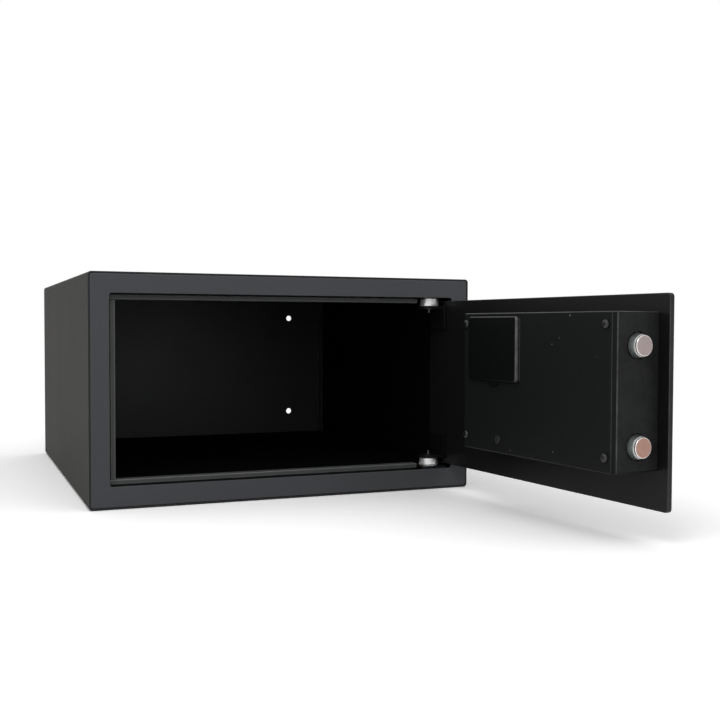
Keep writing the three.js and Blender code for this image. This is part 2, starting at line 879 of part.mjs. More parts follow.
// A bar across both bolts, with a slotted plate that the crank's pin drives.
function boltCarriage() {
  const barX = carriageRight - carriageBar;
  const heights = Object.values(boltHeights);
  const barY0 = boltY - boltRadius - carriageBarMargin;
  const barY1 = boltY + boltRadius + carriageBarMargin;
  const z0 = Math.min(...heights) - boltRadius - carriageEndMargin;
  const z1 = Math.max(...heights) + boltRadius + carriageEndMargin;
  const bar = block(barX, barX + carriageBar, barY0, barY1, z0, z1);
  const slotHalf = crankPinRadius + crankSlotGap;
  const armEnd = crankPinX + carriageReach;
  const slotBottom = crankPinZ - slotHalf;
  const slotTop = crankZ + crankRadius + slotHalf;
  const armMiddle = (slotBottom + slotTop) / 2;
  const arm = block(
    barX,
    armEnd,
    barY0,
    barY0 + carriagePlate,
    armMiddle - carriageArmHalf,
    armMiddle + carriageArmHalf,
  );
  const slot = rounded(crankPinX - slotHalf, crankPinX + slotHalf, slotBottom, slotTop, slotHalf);
  return cut(join(bar, arm), prism("y", barY0 - overrun, barY0 + carriagePlate + overrun, slot));
}

// The crank stands at 45 degrees to one side of upright, and turns to 45 degrees on the other.
function crankFace() {
  return boltY - boltRadius - carriageBarMargin + carriagePlate + slidingGap;
}

function crank() {
  const y0 = crankFace();
  const y1 = y0 + crankThickness;
  const hub = rod("y", y0, y1, crankX, crankZ, crankHubRadius);
  const eye = rod("y", y0, y1, crankPinX, crankPinZ, crankEyeRadius);
  const lean = Math.atan2(crankPinZ - crankZ, crankPinX - crankX);
  const across = new THREE.Vector2(-Math.sin(lean), Math.cos(lean)).multiplyScalar(crankEyeRadius);
  const web = prism("y", y0, y1, [
    new THREE.Vector2(crankX - across.x, crankZ - across.y),
    new THREE.Vector2(crankPinX - across.x, crankPinZ - across.y),
    new THREE.Vector2(crankPinX + across.x, crankPinZ + across.y),
    new THREE.Vector2(crankX + across.x, crankZ + across.y),
  ]);
  const pinEnd = y0 - carriagePlate - slidingGap;
  const shaftEnd = y1 + slidingGap + shaftSeat;
  const pin = rod("y", pinEnd, y1, crankPinX, crankPinZ, crankPinRadius, smallSteps);
  const shaft = rod("y", y0, shaftEnd, crankX, crankZ, crankShaftRadius, smallSteps);
  return join(hub, eye, web, pin, shaft);
}

// Gearbox, motor can and two feet in one casting.
function gearMotor() {
  const y0 = crankFace() + crankThickness + slidingGap;
  const y1 = y0 + gearboxDepth;
  const x0 = crankX - gearboxWidth / 2;
  const x1 = crankX + gearboxWidth / 2;
  const z0 = crankZ - gearboxBelow;
  const z1 = z0 + gearboxHeight;
  const box = prism("y", y0, y1, rounded(x0, x1, z0, z1, gearboxCorner));
  const motorY = (y0 + y1) / 2;
  const can = rod("z", z0 - motorLength, z0 + overrun, crankX, motorY, motorRadius);
  const footX0 = crankX - footWidth / 2;
  const footX1 = crankX + footWidth / 2;
  const plateSide = doorInner + seatGap;
  const lowFoot = block(footX0, footX1, plateSide, y0 + overrun, z0, z0 + footHeight);
  const highTop = z1 - footInset;
  const highFoot = block(footX0, footX1, plateSide, y0 + overrun, highTop - footHeight, highTop);
  const shaftHole = rod(
    "y",
    y0 - overrun,
    y0 + shaftSeat + slidingGap,
    crankX,
    crankZ,
    crankShaftRadius + turningGap,
    smallSteps,
  );
  return cut(join(box, can, lowFoot, highFoot), shaftHole);
}

// A moulded tray under the cover's mouth, open towards the lid.
function batteryTray() {
  const y1 = coverInner - seatGap;
  const y0 = y1 - trayDepth;
  const outer = block(lidLeft, lidRight, y0, y1, lidBottom, lidTop);
  const room = block(
    lidLeft + trayWall,
    lidRight - trayWall,
    y0 + trayWall,
    y1 + overrun,
    lidBottom + trayEndWall,
    lidTop - trayEndWall,
  );
  return cut(outer, room);
}

function cell(index) {
  const x = lidLeft + trayWall + cellPitch * (index + 1 / 2);
  const y = coverInner - seatGap - trayDepth + trayWall + seatGap + cellRadius;
  const z0 = lidBottom + contactRoom;
  const z1 = z0 + cellLength;
  return turned("z", x, y, [
    [0, z0],
    [cellRadius, z0],
    [cellRadius, z1],
    [cellNubRadius, z1],
    [cellNubRadius, z1 + cellNubLength],
    [0, z1 + cellNubLength],
  ], smallSteps);
}

function circuitBoard() {
  return block(lidRight - boardWidth, lidRight, boardBack, boardFace, boardBottom, boardTop);
}

// Its stem stops short of the switch on the board by its travel.
function resetButton() {
  const outer = coverFace + resetProud;
  const stemEnd = boardFace + resetStemGap + resetTravel;
  const collarTop = coverInner - seatGap;
  return turned("y", resetX, resetZ, [
    [0, stemEnd],
    [resetRadius, stemEnd],
    [resetRadius, collarTop - resetCollarThickness],
    [resetCollarRadius, collarTop - resetCollarThickness],
    [resetCollarRadius, collarTop],
    [resetRadius, collarTop],
    [resetRadius, outer],
    [0, outer],
  ], smallSteps);
}

// The places of the keys, bottom row first.
function keyPlaces() {
  const places = [];
  keyNames.forEach((row, j) => {
    row.forEach((name, i) => {
      const x = keysLeft + keyWidth / 2 + i * keyPitchX;
      places.push([name, x, bezelBottom + keyBlockBottom + j * keyPitchZ]);
    });
  });
  return places;
}

function keyOutline(x, z, growth) {
  const w = keyWidth / 2 + growth;
  const h = keyHeight / 2 + growth;
  return rounded(x - w, x + w, z - h, z + h, keyCorner, keyCornerSteps);
}

// A hollow moulding with holes for the keys, the display and the lock.
function keypadBezel() {
  const outline = rounded(bezelLeft, bezelRight, bezelBottom, bezelTop, bezelCorner);
  const body = prism("y", bezelFace, bezelBack, outline);
  const room = rounded(
    bezelLeft + bezelWall,
    bezelRight - bezelWall,
    bezelBottom + bezelWall,
    bezelTop - bezelWall,
    bezelCorner - bezelWall,
  );
  const hollow = prism("y", bezelFace + bezelWall, bezelBack + overrun, room);
  const faceOut = bezelFace - overrun;
  const faceIn = bezelFace + bezelWall + overrun;
  const holes = keyPlaces().map(([, x, z]) => prism("y", faceOut, faceIn, keyOutline(x, z, seatGap)));
  const lockHole = rod("y", faceOut, faceIn, lockX, lockZ, lockHeadRadius + seatGap);
  const [x0, x1, z0, z1] = displayEdges();
  const glass = block(
    x0 - seatGap,
    x1 + seatGap,
    faceOut,
    bezelFace + displayRecess + displayThickness + seatGap,
    z0 - seatGap,
    z1 + seatGap,
  );
  const [rivetX, rivetZ] = capPivot();
  const rivetHoleRadius = capRivetRadius + turningGap;
  const rivetHole = rod("y", faceOut, faceIn, rivetX, rivetZ, rivetHoleRadius, smallSteps);
  return cut(body, hollow, ...holes, lockHole, glass, rivetHole);
}

function displayEdges() {
  const z1 = bezelTop - displayInset;
  return [bezelLeft + displayInset, keysLeft - displayToKeys, z1 - displayHeight, z1];
}

function displayWindow() {
  const [x0, x1, z0, z1] = displayEdges();
  const y0 = bezelFace + displayRecess;
  return block(x0, x1, y0, y0 + displayThickness, z0, z1);
}

function keypadBoard() {
  const y1 = bezelBack - padBoardThickness;
  const y0 = y1 - padBoardThickness;
  const outline = rounded(
    keysLeft - keySkirt,
    bezelRight - padBoardInset,
    bezelBottom + padBoardInset,
    bezelTop - padBoardInset,
    bezelCorner - padBoardInset,
  );
  const plate = prism("y", y0, y1, outline);
  const domeTop = bezelFace + bezelWall + seatGap + keySkirtThickness + keyTravel + seatGap;
  const middle = (y0 + y1) / 2;
  const domes = keyPlaces().map(([, x, z]) => rod("y", domeTop, middle, x, z, domeRadius, domeSteps));
  return join(plate, ...domes);
}

// A key has a skirt that keeps it behind the bezel's face.
function keyTop(x, z) {
  const skirtFace = bezelFace + bezelWall + seatGap;
  const skirtBack = skirtFace + keySkirtThickness;
  const top = prism("y", bezelFace - keyProud, skirtBack, keyOutline(x, z, 0));
  const skirt = prism("y", skirtFace, skirtBack, keyOutline(x, z, keySkirt));
  return join(top, skirt);
}

// The barrel goes through the plate, and its head fills the hole in the bezel.
function keyLockBody() {
  const head = bezelFace + displayRecess;
  const end = doorInner + lockBodyLength;
  const bore = rotorRadius + turningGap;
  return turned("y", lockX, lockZ, [
    [bore, head],
    [lockHeadRadius, head],
    [lockHeadRadius, head + lockHeadThickness],
    [lockBodyRadius, head + lockHeadThickness],
    [lockBodyRadius, end],
    [bore, end],
    [bore, head],
  ]);
}

// The plug has a key slot in front and a cam at its inner end.
function keyRotor() {
  const face = bezelFace + displayRecess + seatGap;
  const end = doorInner + lockBodyLength + seatGap;
  const plug = rod("y", face, end + camThickness, lockX, lockZ, rotorRadius);
  const cam = block(
    lockX - camWidth / 2,
    lockX + camWidth / 2,
    end,
    end + camThickness,
    lockZ - camLength,
    lockZ,
  );
  const slot = block(
    lockX - keySlotWidth / 2,
    lockX + keySlotWidth / 2,
    face - overrun,
    face + keySlotDepth,
    lockZ - keySlotHeight / 2,
    lockZ + keySlotHeight / 2,
  );
  return cut(join(plug, cam), slot);
}

function capPivot() {
  return [lockX, lockZ + capPivotRise];
}

// The disc hides the lock, and turns on a rivet near its upper edge.
function lockCap() {
  const y1 = bezelFace - seatGap;
  const disc = rod("y", y1 - capThickness, y1, lockX, lockZ + capShift, capRadius);
  const [rivetX, rivetZ] = capPivot();
  const rivetRoot = y1 - capThickness / 2;
  const rivetEnd = y1 + seatGap + capRivetDepth;
  const rivet = rod("y", rivetRoot, rivetEnd, rivetX, rivetZ, capRivetRadius, smallSteps);
  return join(disc, rivet);
}

// Case
addToCase("shell", shell(), finishes.casePaint);
addToCase("front_frame", frontFrame(), finishes.framePaint);
addToCase("back_panel", backPanel(), finishes.innerPaint);
addToCase("stop_top", stopTop(), finishes.stopPaint);
addToCase("stop_bottom", stopBottom(), finishes.stopPaint);
addToCase("strike_jamb", strikeJamb(), finishes.stopPaint);
addToCase("floor_pan", floorPan(), finishes.innerPaint);
addToCase("floor_mat", floorMat(), finishes.mat);

// Hinges: the upper arm is under its bush, the lower one over it, and each pin reaches past its arm.
const lowerArmBase = lowerBushBase + bushHeight + seatGap;
const upperArmBase = upperBushBase - seatGap - armThickness;
const lowerShelf = lowerBushBase - seatGap - bracketThickness;
const upperShelf = upperBushBase + bushHeight + seatGap;
const rimGap = seatGap + frameThickness + bracketRimGap;
const lowerBracket = hingeBracket(lowerShelf, innerBottom + rimGap, lowerShelf + bracketThickness);
const upperBracket = hingeBracket(upperShelf, upperShelf, innerTop - rimGap);
addToCase("hinge_bracket_bottom", lowerBracket, finishes.armPaint);
addToCase("hinge_bracket_top", upperBracket, finishes.armPaint);
const lowerShoulder = lowerArmBase + armThickness + seatGap;
const upperShoulder = upperArmBase - seatGap;
const lowerPin = hingePin(lowerShelf, lowerShoulder, lowerShoulder + pinTipLength);
const upperPin = hingePin(upperShelf + bracketThickness, upperShoulder, upperShoulder - pinTipLength);
addToCase("hinge_pin_bottom", lowerPin, finishes.chrome);
addToCase("hinge_pin_top", upperPin, finishes.chrome);
addToCase("hinge_bush_bottom", hingeBush(lowerBushBase), finishes.chrome);
addToCase("hinge_bush_top", hingeBush(upperBushBase), finishes.chrome);

// Door
addToDoor("door_plate", doorPlate(), finishes.doorPaint);
const upperLegBase = upperArmBase + armThickness - armLegHeight;
addToDoor("hinge_arm_bottom", hingeArm(lowerArmBase, lowerArmBase), finishes.armPaint);
addToDoor("hinge_arm_top", hingeArm(upperArmBase, upperLegBase), finishes.armPaint);
addToDoor("lock_cover", lockCover(), finishes.coverPaint);
let screwNumber = 1;
for (const x of screwXs) {
  for (const z of screwHeights) {
    addToDoor("cover_screw_" + screwNumber, coverScrew(x, z), finishes.blackScrew);
    screwNumber += 1;
  }
}
addToDoor("battery_tray", batteryTray(), finishes.blackPlastic);
for (let i = 0; i < cellCount; i++) addToDoor("cell_" + (i + 1), cell(i), finishes.cellWrap);
addToDoor("battery_lid", batteryLid(), finishes.blackPlastic);
addToDoor("circuit_board", circuitBoard(), finishes.board);
addToDoor("reset_button", resetButton(), finishes.buttonPlastic);
addToDoor("bolt_guide", boltGuide(), finishes.zinc);
for (const [name, z] of Object.entries(boltHeights)) {
  addToDoor(name, lockingBolt(z), finishes.boltSteel);
}
addToDoor("bolt_carriage", boltCarriage(), finishes.zinc);
addToDoor("crank", crank(), finishes.zinc);
addToDoor("gear_motor", gearMotor(), finishes.zinc);

// Outside of the door
addToDoor("keypad_bezel", keypadBezel(), finishes.blackPlastic);
addToDoor("keypad_board", keypadBoard(), finishes.board);
addToDoor("display_window", displayWindow(), finishes.window);
for (const [name, x, z] of keyPlaces()) addToDoor(name, keyTop(x, z), finishes.keyPlastic);
addToDoor("key_lock_body", keyLockBody(), finishes.zinc);
addToDoor("key_rotor", keyRotor(), finishes.zinc);
addToDoor("key_cap", lockCap(), finishes.blackPlastic);

export default group;
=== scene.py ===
import json
import math

import bmesh
import bpy
from mathutils import Matrix, Vector


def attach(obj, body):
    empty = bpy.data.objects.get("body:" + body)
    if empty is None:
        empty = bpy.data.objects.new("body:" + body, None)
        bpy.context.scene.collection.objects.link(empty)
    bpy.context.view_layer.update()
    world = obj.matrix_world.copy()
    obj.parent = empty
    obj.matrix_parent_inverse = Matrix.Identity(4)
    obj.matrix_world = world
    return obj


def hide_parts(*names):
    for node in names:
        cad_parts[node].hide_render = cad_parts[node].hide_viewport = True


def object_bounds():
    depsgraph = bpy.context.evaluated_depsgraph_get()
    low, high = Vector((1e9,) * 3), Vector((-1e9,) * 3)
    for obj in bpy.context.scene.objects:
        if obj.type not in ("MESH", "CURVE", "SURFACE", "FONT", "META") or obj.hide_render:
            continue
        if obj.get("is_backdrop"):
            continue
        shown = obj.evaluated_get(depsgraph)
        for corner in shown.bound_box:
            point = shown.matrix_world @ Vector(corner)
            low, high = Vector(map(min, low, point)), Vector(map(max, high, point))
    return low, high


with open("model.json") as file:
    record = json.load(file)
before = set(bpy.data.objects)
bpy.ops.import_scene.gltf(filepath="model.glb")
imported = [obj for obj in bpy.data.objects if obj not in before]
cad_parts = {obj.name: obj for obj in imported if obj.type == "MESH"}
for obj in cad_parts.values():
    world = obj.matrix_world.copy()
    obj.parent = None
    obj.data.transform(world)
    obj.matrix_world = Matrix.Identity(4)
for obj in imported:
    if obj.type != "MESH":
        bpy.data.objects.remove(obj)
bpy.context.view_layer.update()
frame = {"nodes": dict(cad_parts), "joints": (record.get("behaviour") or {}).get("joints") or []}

# Camera
# It stands low, in front of the safe and to its left, as for the photograph, with a normal lens.
camera_place = Vector((-0.2839, -1.0529, 0.1550))
camera_yaw = math.radians(22.416)
camera_pitch = math.radians(1.958)
camera_roll = math.radians(-0.183)
forward = Vector((
    math.sin(camera_yaw) * math.cos(camera_pitch),
    math.cos(camera_yaw) * math.cos(camera_pitch),
    -math.sin(camera_pitch),
))
level = Vector((math.cos(camera_yaw), -math.sin(camera_yaw), 0))
down = forward.cross(level)
image_right = math.cos(camera_roll) * level + math.sin(camera_roll) * down
image_up = math.sin(camera_roll) * level - math.cos(camera_roll) * down
lens = bpy.data.cameras.new("camera")
lens.sensor_width = 36
lens.lens = 49.75
lens.clip_start = 0.05
lens.clip_end = 60
camera = bpy.data.objects.new("camera", lens)
turn = Matrix((image_right, image_up, -forward)).transposed()
camera.matrix_world = Matrix.Translation(camera_place) @ turn.to_4x4()
bpy.context.scene.collection.objects.link(camera)
bpy.context.scene.camera = camera
bpy.context.scene.view_settings.view_transform = "Standard"


# Floor, white background and studio light
# A seamless white table in a white tent, which is brightest above and in front, with one soft lamp
# over the left-hand end.
def set_inputs(tree, node, inputs):
    for name, value in inputs.items():
        if isinstance(value, bpy.types.NodeSocket):
            tree.links.new(value, node.inputs[name])
        else:
            node.inputs[name].default_value = value


def add_node(tree, kind, inputs=None, **settings):
    made = tree.nodes.new("ShaderNode" + kind)
    for name, value in settings.items():
        setattr(made, name, value)
    set_inputs(tree, made, inputs or {})
    return made


def calculate(tree, operation, first, second):
    return add_node(tree, "Math", {0: first, 1: second}, operation=operation).outputs[0]


def spread(tree, source, low, high, to_low, to_high):
    limits = {0: source, 1: low, 2: high, 3: to_low, 4: to_high}
    return add_node(tree, "MapRange", limits).outputs[0]


def blend(tree, share, first, second):
    return add_node(tree, "MixRGB", {0: share, 1: first, 2: second}).outputs[0]


def grey(level):
    return (level, level, level, 1)


def new_material(name):
    material = bpy.data.materials.new(name)
    material.use_nodes = True
    return material, material.node_tree


def seen_ray(tree):
    path = add_node(tree, "LightPath")
    seen = path.outputs["Is Camera Ray"]
    for kind in ("Is Glossy Ray", "Is Transmission Ray"):
        seen = calculate(tree, "MAXIMUM", seen, path.outputs[kind])
    return seen


tent_side = (0.08, -0.56, 0.82)
tent_dim, tent_bright = 0.25, 0.82
world = bpy.data.worlds.new("white_tent")
bpy.context.scene.world = world
world.use_nodes = True
tent = world.node_tree
tent.nodes.clear()
towards = add_node(tent, "TexCoord").outputs["Generated"]
facing = add_node(tent, "VectorMath", {0: towards, 1: tent_side}, operation="DOT_PRODUCT")
there = spread(tent, facing.outputs["Value"], -1, 1, tent_dim, tent_bright)
lit = add_node(tent, "Background", {"Color": grey(1), "Strength": there})
white = add_node(tent, "Background", {"Color": grey(1), "Strength": 1.0})
either = add_node(tent, "MixShader", {0: seen_ray(tent), 1: lit.outputs[0], 2: white.outputs[0]})
add_node(tent, "OutputWorld", {"Surface": either.outputs[0]})

table_lit, table_seen = 0.10, 1.46
table_half, table_drop = 20, 0.0004
table_white, paper = new_material("table_white")
paper.nodes.clear()
as_seen = blend(paper, seen_ray(paper), grey(table_lit), grey(table_seen))
matte = add_node(paper, "BsdfDiffuse", {"Color": as_seen})
add_node(paper, "OutputMaterial", {"Surface": matte.outputs[0]})
bm = bmesh.new()
bmesh.ops.create_grid(bm, x_segments=1, y_segments=1, size=table_half)
bmesh.ops.translate(bm, vec=(0, 0, -table_drop), verts=bm.verts)
table_mesh = bpy.data.meshes.new("table")
bm.to_mesh(table_mesh)
bm.free()
table_mesh.materials.append(table_white)
table = bpy.data.objects.new("table", table_mesh)
bpy.context.scene.collection.objects.link(table)
table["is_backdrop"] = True

lamp_place, lamp_target = Vector((-0.35, -0.75, 0.9)), Vector((0, -0.2, 0.1))
softbox = bpy.data.lights.new("softbox", "AREA")
softbox.shape = "DISK"
softbox.size = 0.6
softbox.energy = 2.0
lamp = bpy.data.objects.new("softbox", softbox)
lamp.location = lamp_place
lamp.rotation_mode = "QUATERNION"
lamp.rotation_quaternion = (lamp_target - lamp_place).to_track_quat("-Z", "Y")
bpy.context.scene.collection.objects.link(lamp)


# Wrap of the case
# One sheet of steel folded round four corners into a tube, drawn in millimetres as every piece is.
# It is powder-coated satin black, with a fine grain, and rubbed a little along its folds and rims,
# where the same lighter tone also paints a faint highlight. Its inside is painted near black and
# its front rim darker, both as painted shade.
mm = 0.001
hair = 0.01


def box(x0, x1, y0, y1, z0, z1):
    bm = bmesh.new()
    bmesh.ops.create_cube(bm, size=1)
    bmesh.ops.scale(bm, vec=(x1 - x0, y1 - y0, z1 - z0), verts=bm.verts)
    middle = ((x0 + x1) / 2, (y0 + y1) / 2, (z0 + z1) / 2)
    bmesh.ops.translate(bm, vec=middle, verts=bm.verts)
    return bm


def faces_towards(bm, direction):
    bm.normal_update()
    return [f for f in bm.faces if f.normal.dot(Vector(direction)) > 0.99]


def cut_out(bm, faces):
    bmesh.ops.delete(bm, geom=faces, context="FACES_ONLY")


def middle_of(edge):
    return (edge.verts[0].co + edge.verts[1].co) / 2


def edges_along(bm, direction):
    along = Vector(direction)
    return [e for e in bm.edges
            if abs((e.verts[1].co - e.verts[0].co).normalized().dot(along)) > 0.999]


def sharp_edges(bm, degrees=50):
    limit = math.radians(degrees)
    return [e for e in bm.edges if len(e.link_faces) == 2 and e.calc_face_angle(0) > limit]


def round_off(bm, edges, radius, steps):
    return bmesh.ops.bevel(
        bm, geom=edges, offset=radius, offset_type="OFFSET", segments=steps, profile=0.5,
        affect="EDGES", clamp_overlap=True, material=-1,
    )


def wear_and_highlight_layer(bm):
    return bm.faces.layers.float.get("edge_wear_and_highlight") or bm.faces.layers.float.new("edge_wear_and_highlight")


# Breaks every sharp edge that is left, and marks the narrow faces there for the paint's lighter
# edge tone, which is partly wear and partly a painted highlight.
def break_edges(bm, radius, steps=2, degrees=50):
    wear_and_highlight = wear_and_highlight_layer(bm)
    bm.normal_update()
    for face in round_off(bm, sharp_edges(bm, degrees), radius, steps)["faces"]:
        face[wear_and_highlight] = 1.0


# Makes every face point away from the middle of the piece, then thickens the sheet inwards.
def sheet_thickness(bm, thickness):
    bmesh.ops.recalc_face_normals(bm, faces=bm.faces)
    middle = sum((v.co for v in bm.verts), Vector()) / len(bm.verts)
    away = sum((f.calc_center_median() - middle).dot(f.normal) * f.calc_area() for f in bm.faces)
    if away < 0:
        bmesh.ops.reverse_faces(bm, faces=bm.faces)
    bmesh.ops.solidify(bm, geom=bm.faces[:], thickness=thickness)


def place(name, bm, material, body, slot, *nodes, smooth=35):
    bmesh.ops.scale(bm, vec=(mm, mm, mm), verts=bm.verts)
    mesh = bpy.data.meshes.new(name)
    bm.to_mesh(mesh)
    bm.free()
    mesh.materials.append(material)
    mesh.shade_smooth()
    mesh.set_sharp_from_angle(angle=math.radians(smooth))
    piece = bpy.data.objects.new(name, mesh)
    bpy.context.scene.collection.objects.link(piece)
    even = piece.modifiers.new("flat_faces_shade_flat", "WEIGHTED_NORMAL")
    even.keep_sharp = True
    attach(piece, body)
    if nodes:
        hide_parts(*nodes)
    return piece


# A finish is a node group that takes colours and numbers, and gives a colour, a roughness and a
# height. Coating a material with it links these to its shader.
def new_finish(name, colors, numbers):
    group = bpy.data.node_groups.new(name, "ShaderNodeTree")
    sockets = [(socket, "INPUT", "Color") for socket in colors]
    sockets += [(socket, "INPUT", "Float") for socket in numbers]
    sockets += [("Color", "OUTPUT", "Color"), ("Roughness", "OUTPUT", "Float"),
                ("Height", "OUTPUT", "Float")]
    for socket, way, kind in sockets:
        group.interface.new_socket(socket, in_out=way, socket_type="NodeSocket" + kind)
    given = group.nodes.new("NodeGroupInput").outputs
    return group, given, add_node(group, "TexCoord").outputs["Object"]


def give_out(group, color, roughness, height):
    outputs = {"Color": color, "Roughness": roughness, "Height": height}
    set_inputs(group, group.nodes.new("NodeGroupOutput"), outputs)


def noise(tree, where, scale, detail, roughness=0.5):
    values = {"Vector": where, "Scale": scale, "Detail": detail, "Roughness": roughness}
    return add_node(tree, "TexNoise", values).outputs[0]


def relief(tree, strength, depth, height):
    values = {"Strength": strength, "Distance": depth, "Height": height}
    return add_node(tree, "Bump", values).outputs[0]


def coated(name, finish, values, strength, depth, shader):
    material, tree = new_material(name)
    layer = add_node(tree, "Group", values, node_tree=finish).outputs
    set_inputs(tree, tree.nodes["Principled BSDF"], {
        "Base Color": layer["Color"], "Roughness": layer["Roughness"],
        "Normal": relief(tree, strength, depth, layer["Height"]), **shader,
    })
    return material


# Powder coat: a fine orange-peel grain, faint clouds in its gloss, a few specks of dust, and a
# lighter, glossier tone on the faces marked in the edge attribute: metal showing through on rubbed
# edges, and painted highlights along edges, bends and faces that catch the light.
numbers = ("Grain", "Gloss", "Wear_and_highlight", "Dust")
coat, given, where = new_finish("powder_coat", ("Paint", "Rubbed_and_highlight"), numbers)
grain = noise(coat, where, given["Grain"], 3.0, 0.6)
cloud = noise(coat, where, 9.0, 5.0, 0.55)
shade = spread(coat, cloud, 0.3, 0.7, 0.97, 1.03)
speckle = spread(coat, grain, 0.3, 0.7, 0.93, 1.07)
tone = calculate(coat, "MULTIPLY", shade, speckle)
toned = add_node(coat, "VectorMath", {0: given["Paint"], "Scale": tone}, operation="SCALE")
rubbed_and_highlight = spread(coat, noise(coat, where, 55.0, 6.0, 0.7), 0.3, 0.66, 0.25, 1.0)
edge = add_node(coat, "Attribute", attribute_name="edge_wear_and_highlight").outputs["Fac"]
wear_highlight_mask = calculate(coat, "MULTIPLY", calculate(coat, "MULTIPLY", edge, rubbed_and_highlight), given["Wear_and_highlight"])
speck = spread(coat, noise(coat, where, 420.0, 0.0), 0.88, 0.92, 0.0, 1.0)
dust = calculate(coat, "MULTIPLY", speck, given["Dust"])
with_wear_and_highlight = blend(coat, wear_highlight_mask, toned.outputs[0], given["Rubbed_and_highlight"])
with_dust = blend(coat, dust, with_wear_and_highlight, (0.35, 0.34, 0.32, 1))
rough = calculate(coat, "ADD", given["Gloss"], spread(coat, cloud, 0.3, 0.7, 0.02, -0.02))
less = calculate(coat, "MULTIPLY", wear_highlight_mask, -0.15)
give_out(coat, with_dust, calculate(coat, "ADD", rough, less), grain)


# The wear number and the rubbed lightness set the marked faces' lighter tone, used both for wear
# and for painted highlights.
def paint(name, color, gloss=0.55, grain_scale=1300.0, bump=0.25, wear_and_highlight=0.5, dust=0.0,
          specular=0.3, rubbed_and_highlight=0.04):
    values = {
        "Paint": (*color, 1), "Rubbed_and_highlight": (*[rubbed_and_highlight + 1.5 * c for c in color], 1),
        "Grain": grain_scale, "Gloss": gloss, "Wear_and_highlight": wear_and_highlight, "Dust": dust,
    }
    return coated(name, coat, values, bump, 0.0003, {"Specular IOR Level": specular})


case_left, case_right = -178.0, 178.0
case_front, case_back = -205.0, 205.0
case_top = 200.0
wrap_sheet = 1.4
wrap_fold = 3.0
wrap_rear_roll = 1.1
rim_reach, shaded_rim_depth = 0.9, 0.3
case_paint = paint("case_paint", (0.044, 0.043, 0.039), gloss=0.65, specular=0.06)
# The inside is painted near black, as painted shade in the hollow, and the front rim darker, as
# painted shade for the seam.
wrap_inside_painted_shade = paint("wrap_inside_painted_shade", (0.004, 0.004, 0.004), gloss=0.8, specular=0.05)
wrap_rim_painted_shade = paint("wrap_rim_painted_shade", (0.028, 0.028, 0.029), gloss=0.5, specular=0.2)

bm = box(case_left, case_right, case_front, case_back, 0, case_top)
cut_out(bm, faces_towards(bm, (0, -1, 0)) + faces_towards(bm, (0, 1, 0)))
round_off(bm, edges_along(bm, (0, 1, 0)), wrap_fold, 6)
sheet_thickness(bm, wrap_sheet)
rear_rim = []
for edge in sharp_edges(bm, 80):
    at = middle_of(edge)
    outside = abs(at.x) > case_right - rim_reach or not rim_reach < at.z < case_top - rim_reach
    if at.y > case_back - hair and outside:
        rear_rim.append(edge)
round_off(bm, rear_rim, wrap_rear_roll, 4)
break_edges(bm, 0.25)
# Faces inside the wrap take the near-black painted shade, and faces on its front rim the darker
# painted shade.
inner_skin = wrap_sheet - hair
for face in bm.faces:
    at = face.calc_center_median()
    if abs(at.x) < case_right - inner_skin and inner_skin < at.z < case_top - inner_skin:
        face.material_index = 1
    elif at.y < case_front + shaded_rim_depth:
        face.material_index = 2
case_wrap = place("case_wrap", bm, case_paint, "case", "case_paint", "shell")
case_wrap.data.materials.append(wrap_inside_painted_shade)
case_wrap.data.materials.append(wrap_rim_painted_shade)


# Front frame
# The front border is a pressed plate set into the wrap's mouth. Its rim is turned back inside the
# wrap and spot-welded, which leaves a thin seam all round; the wrap's rim beside it is painted dark
# as painted shade for the seam, and the bend of the turn is painted lighter as a highlight.
def stand_up(bm, verts):
    upright = Matrix.Rotation(math.radians(90), 3, "X")
    bmesh.ops.rotate(bm, cent=(0, 0, 0), matrix=upright, verts=verts)


def verts_in(parts):
    return [part for part in parts if isinstance(part, bmesh.types.BMVert)]


def rounded_sheet(bm, bounds, radius, steps, y):
    x0, x1, z0, z1 = bounds
    old = set(bm.verts)
    corners = bmesh.ops.create_grid(bm, x_segments=1, y_segments=1, size=0.5)["verts"]
    stand_up(bm, corners)
    bmesh.ops.scale(bm, vec=(x1 - x0, 1, z1 - z0), verts=corners)
    bmesh.ops.translate(bm, vec=((x0 + x1) / 2, y, (z0 + z1) / 2), verts=corners)
    bmesh.ops.bevel(
        bm, geom=corners, offset=radius, offset_type="OFFSET", segments=steps, profile=0.5,
        affect="VERTICES", material=-1,
    )
    fresh = [v for v in bm.verts if v not in old]
    return max((f for v in fresh for f in v.link_faces), key=lambda f: len(f.verts))


def rounded_ring(bm, outer, inner):
    edges = list(outer.edges) + list(inner.edges)
    cut_out(bm, [outer, inner])
    bmesh.ops.bridge_loops(bm, edges=edges)


opening_left, opening_right = -160.6, 160.6
opening_bottom, opening_top = 19.0, 182.1
opening_corner = 2.0
seam = 0.2
frame_left = case_left + wrap_sheet + seam
frame_right = case_right - wrap_sheet - seam
frame_bottom = wrap_sheet + seam
frame_top = case_top - wrap_sheet - seam
frame_corner = wrap_fold - wrap_sheet
frame_sheet = 1.0
frame_rim = 14.0
frame_turn, turn_highlight, turn_zone = 0.8, 0.5, 8
frame_paint = paint("frame_paint", (0.104, 0.107, 0.116), gloss=0.4, specular=0.08)

